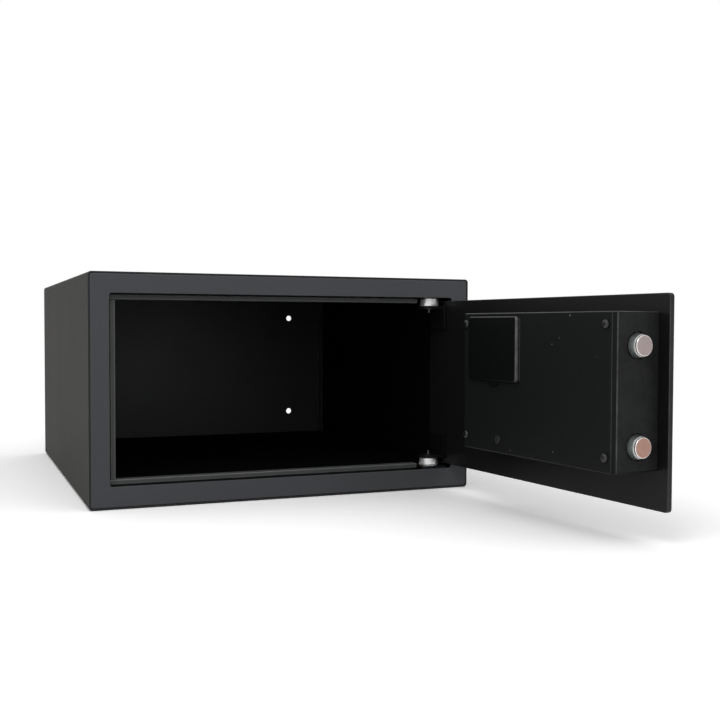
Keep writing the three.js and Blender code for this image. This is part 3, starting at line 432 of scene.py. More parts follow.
bm = bmesh.new()
wear_and_highlight = wear_and_highlight_layer(bm)
border = (frame_left, frame_right, frame_bottom, frame_top)
opening = (opening_left, opening_right, opening_bottom, opening_top)
outer = rounded_sheet(bm, border, frame_corner, 4, case_front)
inner = rounded_sheet(bm, opening, opening_corner, 4, case_front)
rim = list(outer.edges)
rounded_ring(bm, outer, inner)
turned_back = verts_in(bmesh.ops.extrude_edge_only(bm, edges=rim)["geom"])
bmesh.ops.translate(bm, vec=(0, frame_rim, 0), verts=turned_back)
sheet_thickness(bm, frame_sheet)
turn = []
for edge in sharp_edges(bm, 80):
    at = middle_of(edge)
    beyond = max(abs(at.x) - opening_right, opening_bottom - at.z, at.z - opening_top)
    if at.y < case_front + hair and beyond > turn_zone:
        turn.append(edge)
# The bend of the turned rim is painted lighter as a highlight.
for face in round_off(bm, turn, frame_turn, 3)["faces"]:
    face[wear_and_highlight] = turn_highlight
break_edges(bm, 0.3)
place("front_border", bm, frame_paint, "case", "frame_paint", "front_frame")


# Door stops
# Two strips of folded sheet lie behind the top and bottom of the opening, where the door closes
# against them. Each is a shallow channel on a leaf welded to the frame, a little in from its edge.
def turn_to_face(bm, facing):
    bmesh.ops.recalc_face_normals(bm, faces=bm.faces)
    foremost = max(bm.faces, key=lambda f: f.calc_center_median().dot(Vector(facing)))
    if foremost.normal.dot(Vector(facing)) < 0:
        bmesh.ops.reverse_faces(bm, faces=bm.faces)


def draw_line(bm, corners):
    verts = [bm.verts.new(corner) for corner in corners]
    return verts, [bm.edges.new(pair) for pair in zip(verts, verts[1:])]


def folded_strip(corners, fold, extrude_by, facing):
    bm = bmesh.new()
    wear_and_highlight = wear_and_highlight_layer(bm)
    verts, line = draw_line(bm, corners)
    far = verts_in(bmesh.ops.extrude_edge_only(bm, edges=line)["geom"])
    bmesh.ops.translate(bm, vec=extrude_by, verts=far)
    turn_to_face(bm, facing)
    # Every fold is painted lighter along its bend, as a painted highlight.
    for face in round_off(bm, sharp_edges(bm, 60), fold, 4)["faces"]:
        face[wear_and_highlight] = fold_highlight
    return bm


stop_sheet = 0.6
stop_fold, fold_highlight = 0.75, 0.8
stop_face = -200.4
stop_width = 5.4
stop_groove = 1.2
stop_leaf = 9.0
stop_back = stop_face + 9.5
leaf_face = stop_back - stop_sheet
stop_end = 126.4
stop_paint = paint("stop_paint", (0.090, 0.094, 0.092), gloss=0.4, specular=0.1, wear_and_highlight=0.9,
                   rubbed_and_highlight=0.12)


def stop_corners(x, edge, inward):
    steps = (
        (-stop_leaf, leaf_face),
        (stop_groove, leaf_face),
        (stop_groove, stop_face),
        (stop_width, stop_face),
        (stop_width, stop_back),
    )
    return [(x, y, edge + inward * d) for d, y in steps]


run = (stop_end - opening_left, 0, 0)
for name, node, edge, inward in (
    ("stop_strip_top", "stop_top", opening_top, -1),
    ("stop_strip_bottom", "stop_bottom", opening_bottom, 1),
):
    bm = folded_strip(stop_corners(opening_left, edge, inward), stop_fold, run, (0, -1, 0))
    bmesh.ops.solidify(bm, geom=bm.faces[:], thickness=stop_sheet)
    break_edges(bm, 0.2)
    place(name, bm, stop_paint, "case", "stop_paint", node)


# Strike jamb
# The left-hand stop is folded on into a box, welded to the side. The locking bolts enter the two
# holes in its inner wall.
def flat_face_at(bm, point, normal):
    bm.normal_update()
    for face in bm.faces:
        if abs(face.normal.dot(normal)) < 0.99:
            continue
        if abs((face.calc_center_median() - point).dot(normal)) > hair:
            continue
        if bmesh.geometry.intersect_face_point(face, point):
            return face
    raise ValueError("no flat face at " + str(tuple(point)))


# Cuts a rectangular patch out of a flat face, and gives back the edges round it.
def patch_edges(bm, centre, normal, half_sizes):
    centre = Vector(centre)
    normal = Vector(normal)
    across = Vector((0, 1, 0)) if abs(normal.x) > 0.5 else Vector((1, 0, 0))
    upward = Vector((0, 0, 1))
    for direction, half in ((across, half_sizes[0]), (upward, half_sizes[1])):
        for side in (-1, 1):
            face = flat_face_at(bm, centre, normal)
            whole = [face, *face.edges, *face.verts]
            cut = centre + direction * half * side
            bmesh.ops.bisect_plane(bm, geom=whole, dist=hair, plane_co=cut, plane_no=direction)
    face = flat_face_at(bm, centre, normal)
    edges = list(face.edges)
    cut_out(bm, [face])
    return edges


def round_hole(bm, centre, normal, radius, margin=1.4, steps=32):
    edges = patch_edges(bm, centre, normal, (radius * margin, radius * margin))
    cuts = steps // len(edges) - 1
    parted = bmesh.ops.subdivide_edges(bm, edges=edges, cuts=cuts)["geom_split"]
    square = [e for e in parted if isinstance(e, bmesh.types.BMEdge)]
    turn = Vector((0, 0, 1)).rotation_difference(Vector(normal)).to_matrix().to_4x4()
    circle = bmesh.ops.create_circle(
        bm, segments=steps, radius=radius, matrix=Matrix.Translation(centre) @ turn
    )["verts"]
    ring = list({e for v in circle for e in v.link_edges})
    bmesh.ops.bridge_loops(bm, edges=square + ring)


jamb_inner = opening_left + stop_width
jamb_back = -165.0
jamb_bottom, jamb_top = 24.7, 176.4
strike_radius = 10.2
bolt_axis_y = -181.0
bolt_heights = (70.4, 141.9)
bm = folded_strip(
    [
        (opening_left - stop_leaf, leaf_face, jamb_bottom),
        (opening_left + stop_groove, leaf_face, jamb_bottom),
        (opening_left + stop_groove, stop_face, jamb_bottom),
        (jamb_inner, stop_face, jamb_bottom),
        (jamb_inner, jamb_back, jamb_bottom),
        (case_left + wrap_sheet + seam, jamb_back, jamb_bottom),
    ],
    stop_fold,
    (0, 0, jamb_top - jamb_bottom),
    (0, -1, 0),
)
for height in bolt_heights:
    round_hole(bm, (jamb_inner, bolt_axis_y, height), (1, 0, 0), strike_radius, margin=1.3)
sheet_thickness(bm, stop_sheet)
break_edges(bm, 0.2)
place("strike_jamb_box", bm, stop_paint, "case", "stop_paint", "strike_jamb")


# Rear plate and raised floor
# Both are bare pressings, painted the same satin black but thinner, so they look duller. The rear
# plate has four holes for anchor bolts; the floor is a tray turned upside down.
def softened(name, material, body, slot, node, radius):
    bm = bmesh.new()
    bm.from_mesh(frame["nodes"][node].data)
    bmesh.ops.scale(bm, vec=(1 / mm, 1 / mm, 1 / mm), verts=bm.verts)
    bmesh.ops.remove_doubles(bm, verts=bm.verts, dist=0.002)
    bmesh.ops.dissolve_limit(
        bm, angle_limit=math.radians(1), verts=bm.verts, edges=bm.edges, delimit={"NORMAL"}
    )
    break_edges(bm, radius, degrees=40)
    return place(name, bm, material, body, slot, node)


inner_paint = paint("inner_paint", (0.055, 0.060, 0.058), gloss=0.45, wear_and_highlight=0.2, specular=0.35)
softened("rear_plate", inner_paint, "case", "inner_paint", "back_panel", 0.3)
softened("raised_floor", inner_paint, "case", "inner_paint", "floor_pan", 0.3)


# Floor mat
# A sheet of black needle felt, cut to the size of the floor and laid in loose.
felt, tree = new_material("felt")
where = add_node(tree, "TexCoord").outputs["Object"]
nap = calculate(tree, "MULTIPLY", noise(tree, where, 900.0, 6.0, 0.75),
                noise(tree, where, 60.0, 4.0, 0.6))
shade = spread(tree, nap, 0.1, 0.45, 0.0, 1.0)
set_inputs(tree, tree.nodes["Principled BSDF"], {
    "Base Color": blend(tree, shade, grey(0.0005), (0.0025, 0.0025, 0.0027, 1)),
    "Roughness": 0.95, "Normal": relief(tree, 0.8, 0.0008, nap), "Specular IOR Level": 0.08,
})
mat_side = 173.4
mat_front, mat_back = -189.0, 202.7
mat_base, mat_top = 11.3, 14.3
mat_corner, mat_ease = 2.5, 0.9
bm = box(-mat_side, mat_side, mat_front, mat_back, mat_base, mat_top)
round_off(bm, edges_along(bm, (0, 0, 1)), mat_corner, 4)
break_edges(bm, mat_ease, 3)
place("floor_felt", bm, felt, "case", "mat_felt", "floor_mat")


# Hinge bushes and pins
# Two turned bushes, chrome-plated and bright, stand on the brackets' pins behind the right-hand
# border. Each has a thin flange and three bands, and the pin's tip shows past the door's arm.
def turned(profile, centre, axis, steps=48, ease=0.15):
    bm = bmesh.new()
    verts, line = draw_line(bm, [(radius, 0, along) for radius, along in profile])
    bmesh.ops.spin(
        bm, geom=verts + line, cent=(0, 0, 0), axis=(0, 0, 1), angle=2 * math.pi, steps=steps,
        use_merge=True,
    )
    bmesh.ops.remove_doubles(bm, verts=bm.verts, dist=0.0005)
    bmesh.ops.recalc_face_normals(bm, faces=bm.faces)
    if ease:
        break_edges(bm, ease, 2, 40)
    lines = bm.verts.layers.float.new("turning")
    for vert in bm.verts:
        vert[lines] = math.hypot(vert.co.x, vert.co.y) + vert.co.z
    upright = Vector((0, 0, 1)).rotation_difference(Vector(axis)).to_matrix()
    bmesh.ops.rotate(bm, cent=(0, 0, 0), matrix=upright, verts=bm.verts)
    bmesh.ops.translate(bm, vec=centre, verts=bm.verts)
    return bm


# Turned and plated metal: rings left by the lathe follow the piece's own "turning" attribute, and
# its colour and gloss are a little uneven, as handled plating is.
lathe, given, where = new_finish("turned_metal", ("Metal", "Stain"), ("Rings", "Gloss", "Stained"))
along = add_node(lathe, "Attribute", attribute_name="turning").outputs["Fac"]
rings = add_node(lathe, "TexNoise", {
    "W": calculate(lathe, "MULTIPLY", along, given["Rings"]), "Scale": 1.0, "Detail": 3.0,
}, noise_dimensions="1D").outputs[0]
stain = spread(lathe, noise(lathe, where, 260.0, 5.0, 0.65), 0.42, 0.68, 0.0, 1.0)
stained = calculate(lathe, "MULTIPLY", stain, given["Stained"])
ring_shade = spread(lathe, rings, 0.25, 0.75, -0.07, 0.07)
rough = calculate(lathe, "ADD", given["Gloss"], ring_shade)
dulled = calculate(lathe, "MULTIPLY", stained, 0.12)
color = blend(lathe, stained, given["Metal"], given["Stain"])
give_out(lathe, color, calculate(lathe, "ADD", rough, dulled), rings)


def turned_metal(name, metal, stain, gloss, rings=2.2, stained=0.5, metallic=1.0):
    values = {
        "Metal": (*metal, 1), "Stain": (*stain, 1), "Rings": rings, "Gloss": gloss,
        "Stained": stained,
    }
    return coated(name, lathe, values, 0.12, 0.0002, {"Metallic": metallic})


hinge = next(joint for joint in frame["joints"] if joint["name"] == "door_hinge")
pivot = Vector(hinge["pos_m"]) / mm
pivot.z = 0
open_angle = math.radians(-hinge["range_deg"][0])
chrome = turned_metal("chrome", (1.0, 1.0, 1.0), (0.88, 0.90, 0.93), 0.34, stained=0.3,
                      metallic=0.7)
pin_steel = turned_metal("pin_steel", (0.15, 0.16, 0.165), (0.09, 0.10, 0.10), 0.45)
bush_bore = 3.2
bush_flange = 9.2
bush_radius = 8.9
bush_height = 7.3
band_height = 1.9
for name, node, base in (
    ("bush_top", "hinge_bush_top", 174.5),
    ("bush_bottom", "hinge_bush_bottom", 21.2),
):
    profile = [(bush_bore, 0), (bush_flange, 0), (bush_flange, 0.7), (bush_radius + 0.5, 1.2)]
    for band in range(3):
        low = 1.3 + band * band_height
        radius = bush_radius + 0.1 - 0.25 * band
        profile += [(radius - 0.3, low), (radius, low + 0.3), (radius, low + band_height - 0.3)]
    profile += [(bush_radius - 1.3, bush_height), (bush_bore, bush_height), (bush_bore, 0)]
    bm = turned(profile, (pivot.x, pivot.y, base), (0, 0, 1), ease=0)
    place(name, bm, chrome, "case", "chrome", node, smooth=28)
for name, node, root, shoulder, tip in (
    ("pin_top", "hinge_pin_top", 185.1, 171.4, 168.0),
    ("pin_bottom", "hinge_pin_bottom", 17.9, 31.6, 35.0),
):
    profile = [(0, root), (3.0, root), (3.0, shoulder), (0.9, shoulder), (0.9, tip), (0, tip)]
    bm = turned(profile, (pivot.x, pivot.y, 0), (0, 0, 1), steps=32)
    place(name, bm, pin_steel, "case", "chrome", node)


# Hinge brackets and arms
# Each is an angle bent from plate and painted black. A bracket is welded behind the frame and holds
# the pin; an arm is welded to the door and turns on it.
arm_paint = paint("arm_paint", (0.0035, 0.0037, 0.004), gloss=0.5, wear_and_highlight=0.3, specular=0.15)
for part, body in (("bracket", "case"), ("arm", "door")):
    for side in ("_top", "_bottom"):
        softened(part + side, arm_paint, body, "arm_paint", "hinge_" + part + side, 0.35)


# Door plate
# One thick plate with rounded corners, in the case's powder coat but darker, as painted shade for
# its shadowed inner face. It is rubbed brighter along its edges, and the free edge carries a
# painted highlight.
# Posts welded on it carry the cover and the board. The pieces of the door are made as if it were
# shut, then swung.
def place_on_door(name, bm, material, slot, *nodes, body="door", smooth=35):
    opened = Matrix.Rotation(open_angle, 3, "Z")
    bmesh.ops.rotate(bm, cent=pivot, matrix=opened, verts=bm.verts)
    return place(name, bm, material, body, slot, *nodes, smooth=smooth)


# Puts closed shells together as one piece. Each may bring its own material number.
def together(*shells):
    whole = bmesh.new()
    for shell in shells:
        mesh = bpy.data.meshes.new("shell")
        shell.to_mesh(mesh)
        shell.free()
        whole.from_mesh(mesh)
        bpy.data.meshes.remove(mesh)
    return whole


door_left, door_right = -158.8, 158.4
door_bottom, door_top = 23.2, 179.2
door_front, door_inner = -205.0, -200.8
door_corner, door_ease = 3.0, 0.6
free_edge_painted_light, other_edge_share = 0.25, 0.35
# The door's paint is darker than the case's, as painted shade for its inner face.
door_paint = paint("door_paint", (0.0105, 0.0105, 0.0108), gloss=0.35, wear_and_highlight=1.0, specular=0.18,
                   rubbed_and_highlight=0.10)
lock_x, lock_z, lock_bore = -49.8, 79.2, 8.4
lead_x, lead_z, lead_bore = -5.8, 101.2, 6.0
cover_post, board_post = -160.9, -175.1
bm = bmesh.new()
rounded_sheet(bm, (door_left, door_right, door_bottom, door_top), door_corner, 5, door_front)
round_hole(bm, (lock_x, door_front, lock_z), (0, -1, 0), lock_bore)
round_hole(bm, (lead_x, door_front, lead_z), (0, -1, 0), lead_bore)
turn_to_face(bm, (0, -1, 0))
bmesh.ops.solidify(bm, geom=bm.faces[:], thickness=door_inner - door_front)
break_edges(bm, door_ease, 3)
# The arris along the free edge keeps the full lighter tone as a painted highlight, and the free
# edge's face a lighter tone as painted light; other edges keep a smaller share as wear.
wear_and_highlight = wear_and_highlight_layer(bm)
for face in bm.faces:
    if face.normal.x > -0.3:
        face[wear_and_highlight] *= other_edge_share
for face in faces_towards(bm, (-1, 0, 0)):
    face[wear_and_highlight] = free_edge_painted_light
root = door_inner - 0.2
posts = []
for x, z, radius, end, bore, depth in (
    (32.6, 63.0, 4.0, cover_post, 1.8, 10.5),
    (32.6, 157.0, 4.0, cover_post, 1.8, 10.5),
    (-27.8, 96.0, 3.0, board_post, 1.0, 4),
    (20.2, 96.0, 3.0, board_post, 1.0, 4),
    (-27.8, 64.0, 3.0, board_post, 1.0, 4),
):
    profile = [(0, root), (radius + 0.6, root), (radius, root + 0.9), (radius, end), (bore, end),
               (bore, end - depth), (0, end - depth - 0.6)]
    posts.append(turned(profile, (x, 0, z), (0, 1, 0), steps=28))
place_on_door("door_leaf", together(bm, *posts), door_paint, "door_paint", "door_plate")


# Lock cover
# A box folded from thin sheet hides the lock. Its ends are bent in two steps, which leaves a narrow
# facet between two bends, painted bright as highlights, as is the top bend; the flat end by the
# bolts is painted a little lighter as painted light. It has holes for the two bolts, the battery
# lid and the button.
cover_left, cover_right = -148.4, 39.2
cover_bottom, cover_top = 52.0, 166.0
cover_base, cover_face = -200.5, -159.4
cover_sheet = 0.6
cover_facet = 3.0
cover_bend = 1.05
top_bend_highlight, second_bend_highlight, end_face_painted_light = 0.55, 0.6, 0.17
bolt_hole = 10.0
button_x, button_z = -12.9, 62.8
button_hole = 3.7
lid_left, lid_right = -39.2, 27.2
lid_bottom, lid_top = 110.4, 163.2
lid_overlap = 1.6
hook_slot, screw_hole = (3.4, 1.0), 1.8
cover_paint = paint("cover_paint", (0.0125, 0.0137, 0.0133), gloss=0.42, wear_and_highlight=1.0, dust=1.0,
                    specular=0.07, rubbed_and_highlight=0.13)
bm = box(cover_left, cover_right, cover_base, cover_face, cover_bottom, cover_top)
wear_and_highlight = wear_and_highlight_layer(bm)
cut_out(bm, faces_towards(bm, (0, -1, 0)))
ends = [e for e in edges_along(bm, (0, 0, 1)) if e.verts[0].co.y > cover_face - 1]
round_off(bm, ends, cover_facet, 1)
bm.normal_update()
bends = round_off(bm, sharp_edges(bm, 30), cover_bend, 4)["faces"]
bm.normal_update()
# The crest of the top bend and the two bends beside the facet at the bolt end are painted lighter
# as highlights.
for face in bends:
    into, up = abs(face.normal.y), abs(face.normal.z)
    near_end = face.calc_center_median().x < 0 and up < 0.3
    if face.normal.z > 0.3:
        face[wear_and_highlight] = top_bend_highlight if 0.4 < up < 0.95 else 0.0
    elif near_end and (0.25 < into < 0.5 or 0.82 < into < 0.95):
        face[wear_and_highlight] = 1.0 if into < 0.5 else second_bend_highlight
# The flat end by the bolts is painted a little lighter, as painted light.
for face in faces_towards(bm, (-1, 0, 0)):
    face[wear_and_highlight] = end_face_painted_light
for height in bolt_heights:
    round_hole(bm, (cover_left, bolt_axis_y, height), (-1, 0, 0), bolt_hole, steps=48)
round_hole(bm, (button_x, cover_face, button_z), (0, 1, 0), button_hole, steps=24)
mouth = ((lid_left + lid_right) / 2, cover_face, (lid_bottom + lid_top) / 2)
half_mouth = ((lid_right - lid_left) / 2 - lid_overlap, (lid_top - lid_bottom) / 2 - lid_overlap)
patch_edges(bm, mouth, (0, 1, 0), half_mouth)
hook_x, hook_z = (lid_left + lid_right) / 2, 107.0
patch_edges(bm, (hook_x, cover_face, hook_z), (0, 1, 0), hook_slot)
screws = [(x, z) for x in (-139.8, 32.6) for z in (63.0, 157.0)]
for x, z in screws:
    round_hole(bm, (x, cover_face, z), (0, 1, 0), screw_hole, steps=16)
sheet_thickness(bm, cover_sheet)
place_on_door("lock_cover_box", bm, cover_paint, "cover_paint", "lock_cover")


# Cover screws
# Four small screws with low domed heads and cross recesses, blackened, hold the cover to two posts
# at the hinge end and to the bolt guide at the other.
screw_black = paint("screw_black", (0.012, 0.012, 0.013), gloss=0.3, wear_and_highlight=0.6, specular=0.5)
screw_radius, screw_head = 3.3, 1.9
screw_seat = cover_face + 0.3
recess_reach, recess_width, recess_depth = 1.35, 0.55, 0.9


def cross_recess(bm, centre, reach, width, depth):
    centre = Vector(centre)
    pole = min(bm.verts, key=lambda v: (v.co - centre).length)
    bmesh.ops.dissolve_verts(bm, verts=[pole])

    def on_top():
        bm.normal_update()
        middles = ((f, f.calc_center_median() - centre) for f in bm.faces if f.normal.y > 0.999)
        return [(f, off) for f, off in middles if abs(off.y) < hair]

    for direction in (Vector((1, 0, 0)), Vector((0, 0, 1))):
        for cut in (width / 2, -width / 2, reach, -reach):
            top = {part for f, off in on_top() for part in (f, *f.edges, *f.verts)}
            bmesh.ops.bisect_plane(
                bm, geom=list(top), plane_co=centre + direction * cut, plane_no=direction
            )
    cross = [f for f, off in on_top()
             if max(abs(off.x), abs(off.z)) < reach and min(abs(off.x), abs(off.z)) < width / 2]
    cross_edges = {edge for face in cross for edge in face.edges}
    floor = verts_in(bmesh.ops.extrude_face_region(bm, geom=[*cross, *cross_edges])["geom"])
    bmesh.ops.translate(bm, vec=(0, -depth, 0), verts=floor)
    bmesh.ops.scale(bm, vec=(0.7, 1, 0.7), space=Matrix.Translation(-centre), verts=floor)


for number, (x, z) in enumerate(screws, 1):
    profile = [(0, screw_head), (1.7, screw_head), (2.35, 1.66), (2.85, 1.25), (3.2, 0.7),
               (screw_radius, 0.15), (3.2, 0), (1.5, 0), (1.5, -7.3), (0.8, -8), (0, -8)]
    bm = turned(profile, (x, screw_seat, z), (0, 1, 0), steps=32, ease=0)
    cross_recess(bm, (x, screw_seat + screw_head, z), recess_reach, recess_width, recess_depth)
    place_on_door("cover_screw_head_" + str(number), bm, screw_black, "screw_black",
                  "cover_screw_" + str(number), smooth=50)


# Battery tray and cells
# A moulded tray with low ribs hangs under the cover's mouth and holds four AA cells side by side,
# each in a plain sleeve shrunk over a steel can.
def moulded_plastic(name, color, gloss, grain_scale=900.0, bump=0.2, specular=0.4):
    return paint(name, color, gloss, grain_scale, bump, wear_and_highlight=0.12, specular=specular)


tray_plastic = moulded_plastic("tray_plastic", (0.010, 0.010, 0.010), 0.5)
tray_back, tray_front = -178.4, -160.9
tray_wall = 1.2
rib_half, rib_front, rib_inset = 0.5, -172.4, 0.8
cell_xs = (-29.85, -13.95, 1.95, 17.85)
cell_y = -169.6
cell_bottom, cell_top, nub_top = 111.7, 160.9, 161.9
bm = box(lid_left, lid_right, tray_back, tray_front, lid_bottom, lid_top)
cut_out(bm, faces_towards(bm, (0, 1, 0)))
round_off(bm, edges_along(bm, (0, 1, 0)), 1.5, 3)
sheet_thickness(bm, tray_wall)
ribs = []
for left_cell, right_cell in zip(cell_xs, cell_xs[1:]):
    x = (left_cell + right_cell) / 2
    rib = box(x - rib_half, x + rib_half, tray_back + 1, rib_front, lid_bottom + rib_inset,
              lid_top - rib_inset)
    break_edges(rib, 0.2)
    ribs.append(rib)
bm = together(bm, *ribs)
break_edges(bm, 0.2)
place_on_door("tray_moulding", bm, tray_plastic, "tray_plastic", "battery_tray")

sleeve = moulded_plastic("cell_sleeve", (0.045, 0.055, 0.075), 0.25, 300.0, 0.05, specular=0.5)
can_metal = turned_metal("can_metal", (0.62, 0.62, 0.60), (0.45, 0.44, 0.42), 0.3)
cell_profile = [
    (0, cell_bottom), (5.2, cell_bottom), (5.6, cell_bottom + 0.5), (6.6, cell_bottom + 0.5),
    (7.0, cell_bottom + 0.3), (7.1, cell_bottom + 0.8), (7.1, cell_top - 0.8),
    (6.9, cell_top - 0.2), (6.2, cell_top - 0.3), (6.0, cell_top - 0.6), (2.9, cell_top - 0.6),
    (2.7, cell_top - 0.2), (2.6, nub_top - 0.2), (2.3, nub_top), (0, nub_top),
]
bare_can = 6.05
for number, x in enumerate(cell_xs, 1):
    bm = turned(cell_profile, (x, cell_y, 0), (0, 0, 1), steps=36, ease=0)
    for face in bm.faces:
        at = face.calc_center_median()
        face.material_index = 1 if math.hypot(at.x - x, at.y - cell_y) < bare_can else 0
    cell = place_on_door("battery_" + str(number), bm, sleeve, "cell_wrap", "cell_" + str(number))
    cell.data.materials.append(can_metal)


# Battery lid
# A moulded lid with rounded corners lies over the mouth, inside a thin raised frame. Its edge away
# from the hinge and its top edge are painted lighter as highlights, as is the frame's edge on that
# side. A thumb tab below it ends in a hook that catches under the cover.
def new_plate(bounds, radius, steps, y0, y1):
    bm = bmesh.new()
    face = rounded_sheet(bm, bounds, radius, steps, y0)
    moved = verts_in(bmesh.ops.extrude_face_region(bm, geom=[face])["geom"])
    bmesh.ops.translate(bm, vec=(0, y1 - y0, 0), verts=moved)
    bmesh.ops.recalc_face_normals(bm, faces=bm.faces)
    return bm


def wider(bounds, more):
    x0, x1, z0, z1 = bounds
    return x0 - more, x1 + more, z0 - more, z1 + more


lid_plastic = paint("lid_plastic", (0.0040, 0.0047, 0.0046), 0.4, 900.0, 0.2, wear_and_highlight=1.0,
                    specular=0.08, rubbed_and_highlight=0.24)
lid_base, lid_face = cover_face + 0.3, cover_face + 2.7
lid_corner, lid_ease, lid_top_highlight = 3.2, 1.5, 0.35
lid_bounds = (lid_left, lid_right, lid_bottom, lid_top)
tab_low, tab_half, hook_half = 106.4, 6, 3
hook_end = lid_base - 4
plate = new_plate(lid_bounds, lid_corner, 7, lid_base, lid_face)
wear_and_highlight = wear_and_highlight_layer(plate)
top_rim = [e for e in sharp_edges(plate) if min(v.co.y for v in e.verts) > lid_face - hair]
round_off(plate, top_rim, lid_ease, 5)
plate.normal_update()
# The lid's edge away from the hinge is painted lighter as a highlight, and its top edge a little
# lighter as one.
for face in plate.faces:
    if face.normal.x < -0.35:
        face[wear_and_highlight] = 1.0
    elif face.normal.z > 0.35:
        face[wear_and_highlight] = lid_top_highlight
tab_bounds = (hook_x - tab_half, hook_x + tab_half, tab_low, lid_bottom + 4)
tab = new_plate(tab_bounds, 1.5, 4, lid_base + 0.1, lid_base + 1.3)
break_edges(tab, 0.4, 3)
hook = box(hook_x - hook_half, hook_x + hook_half, hook_end, lid_base + 0.6, tab_low, 107.6)
break_edges(hook, 0.2)
barb = box(hook_x - hook_half, hook_x + hook_half, hook_end, lid_base - 2.9, 105.9, 107.4)
break_edges(barb, 0.3)
for shell in (tab, hook, barb):
    wear_and_highlight = wear_and_highlight_layer(shell)
    for face in shell.faces:
        face[wear_and_highlight] = 0.0
bm = together(plate, tab, hook, barb)
place_on_door("lid_moulding", bm, lid_plastic, "lid_plastic", "battery_lid", body="battery_lid")

surround_reach, surround_gap, surround_height = 1.9, 0.6, 0.5
raised = cover_face + surround_height
bm = bmesh.new()
wear_and_highlight = wear_and_highlight_layer(bm)
outer = rounded_sheet(bm, wider(lid_bounds, surround_reach), lid_corner + surround_reach, 8, raised)
inner = rounded_sheet(bm, wider(lid_bounds, surround_gap), lid_corner + surround_gap, 8, raised)
rounded_ring(bm, outer, inner)
turn_to_face(bm, (0, 1, 0))
bmesh.ops.solidify(bm, geom=bm.faces[:], thickness=surround_height + 0.1)
round_off(bm, sharp_edges(bm), 0.2, 3)
bm.normal_update()
# The frame's outer edge away from the hinge is painted lighter as a highlight.
for face in bm.faces:
    left_side = face.calc_center_median().x < lid_left - surround_reach + 0.3
    if face.normal.x < -0.35 and left_side:
        face[wear_and_highlight] = 1.0
place_on_door("lid_surround", bm, cover_paint, "cover_paint")


# Reset button
# A small moulded plunger stands just proud of the cover, held by its collar, over a switch.
button_plastic = moulded_plastic("button_plastic", (0.030, 0.030, 0.031), 0.35)
profile = [(0, -169.2), (3.1, -169.2), (3.4, -168.8), (3.4, -162.4), (4.8, -162.4), (4.8, -160.9),
           (3.4, -160.9), (3.4, -158.7), (3.25, -158.35), (2.9, -158.2), (0, -158.35)]
bm = turned(profile, (button_x, 0, button_z), (0, 1, 0), steps=40, ease=0)
place_on_door("button_plunger", bm, button_plastic, "button_plastic", "reset_button",
              body="reset_button")


# Locking bolts
# Two thick steel bars slide out of the cover's end. Each is turned with a broken edge and a fine
# groove round its face, and the plating on the faces is tinted a little, pink on one and copper on
# the other.
bolt_end = -155.0
bolt_length = 39.2
face_depth, face_radius, rim_depth = 0.05, 6.9, 0.72
band_start, band_end = 1.5, 2.1
bolt_profile = [(0, 0), (6.95, 0), (7.3, 0.12), (7.5, 0.4), (7.5, 0.7), (7.3, 0.9), (7.3, 1.4),
                (7.75, 1.55), (7.95, 1.75), (7.95, 2.05), (8.2, 2.4), (9.0, 6.8), (9.2, 8.0),
                (9.2, bolt_length - 0.6), (8.6, bolt_length), (0, bolt_length)]
bolt_side = turned_metal("bolt_steel", (0.30, 0.33, 0.325), (0.20, 0.22, 0.22), 0.42, rings=3.0)
bolt_rim = turned_metal("bolt_rim", (0.80, 0.75, 0.74), (0.62, 0.57, 0.55), 0.22, stained=0.3)
pink_face = turned_metal("pink_face", (0.36, 0.30, 0.29), (0.30, 0.25, 0.245), 0.34, rings=4.0)
copper_face = turned_metal("copper_face", (0.38, 0.23, 0.185), (0.29, 0.18, 0.15), 0.34, rings=4.0)
for name, height, face_metal in (
    ("bolt_lower", bolt_heights[0], copper_face),
    ("bolt_upper", bolt_heights[1], pink_face),
):
    bm = turned(bolt_profile, (bolt_end, bolt_axis_y, height), (1, 0, 0), steps=64, ease=0)
    for face in bm.faces:
        at = face.calc_center_median() - Vector((bolt_end, bolt_axis_y, height))
        off_axis = math.hypot(at.y, at.z)
        if at.x < face_depth and off_axis < face_radius:
            face.material_index = 1
        elif at.x < rim_depth or band_start < at.x < band_end:
            face.material_index = 2
    bar = place_on_door(name + "_bar", bm, bolt_side, "bolt_steel", name, body="bolts", smooth=24)
    bar.data.materials.append(face_metal)
    bar.data.materials.append(bolt_rim)


# Lock mechanism
# Behind the cover, a black zinc-plated guide and carriage hold the bolts, and a small geared motor
# turns the crank that draws them back. A circuit board on posts works it.
zinc_plate = turned_metal("zinc_plate", (0.13, 0.135, 0.13), (0.09, 0.095, 0.09), 0.36, stained=0.9)
motor_metal = turned_metal("motor_metal", (0.30, 0.31, 0.33), (0.22, 0.23, 0.24), 0.4, stained=0.7)
softened("bolt_channel", zinc_plate, "door", "zinc_plate", "bolt_guide", 0.25)
softened("bolt_yoke", zinc_plate, "bolts", "zinc_plate", "bolt_carriage", 0.3)
softened("crank_arm", zinc_plate, "crank", "zinc_plate", "crank", 0.25)
softened("motor_unit", motor_metal, "door", "motor_metal", "gear_motor", 0.35)


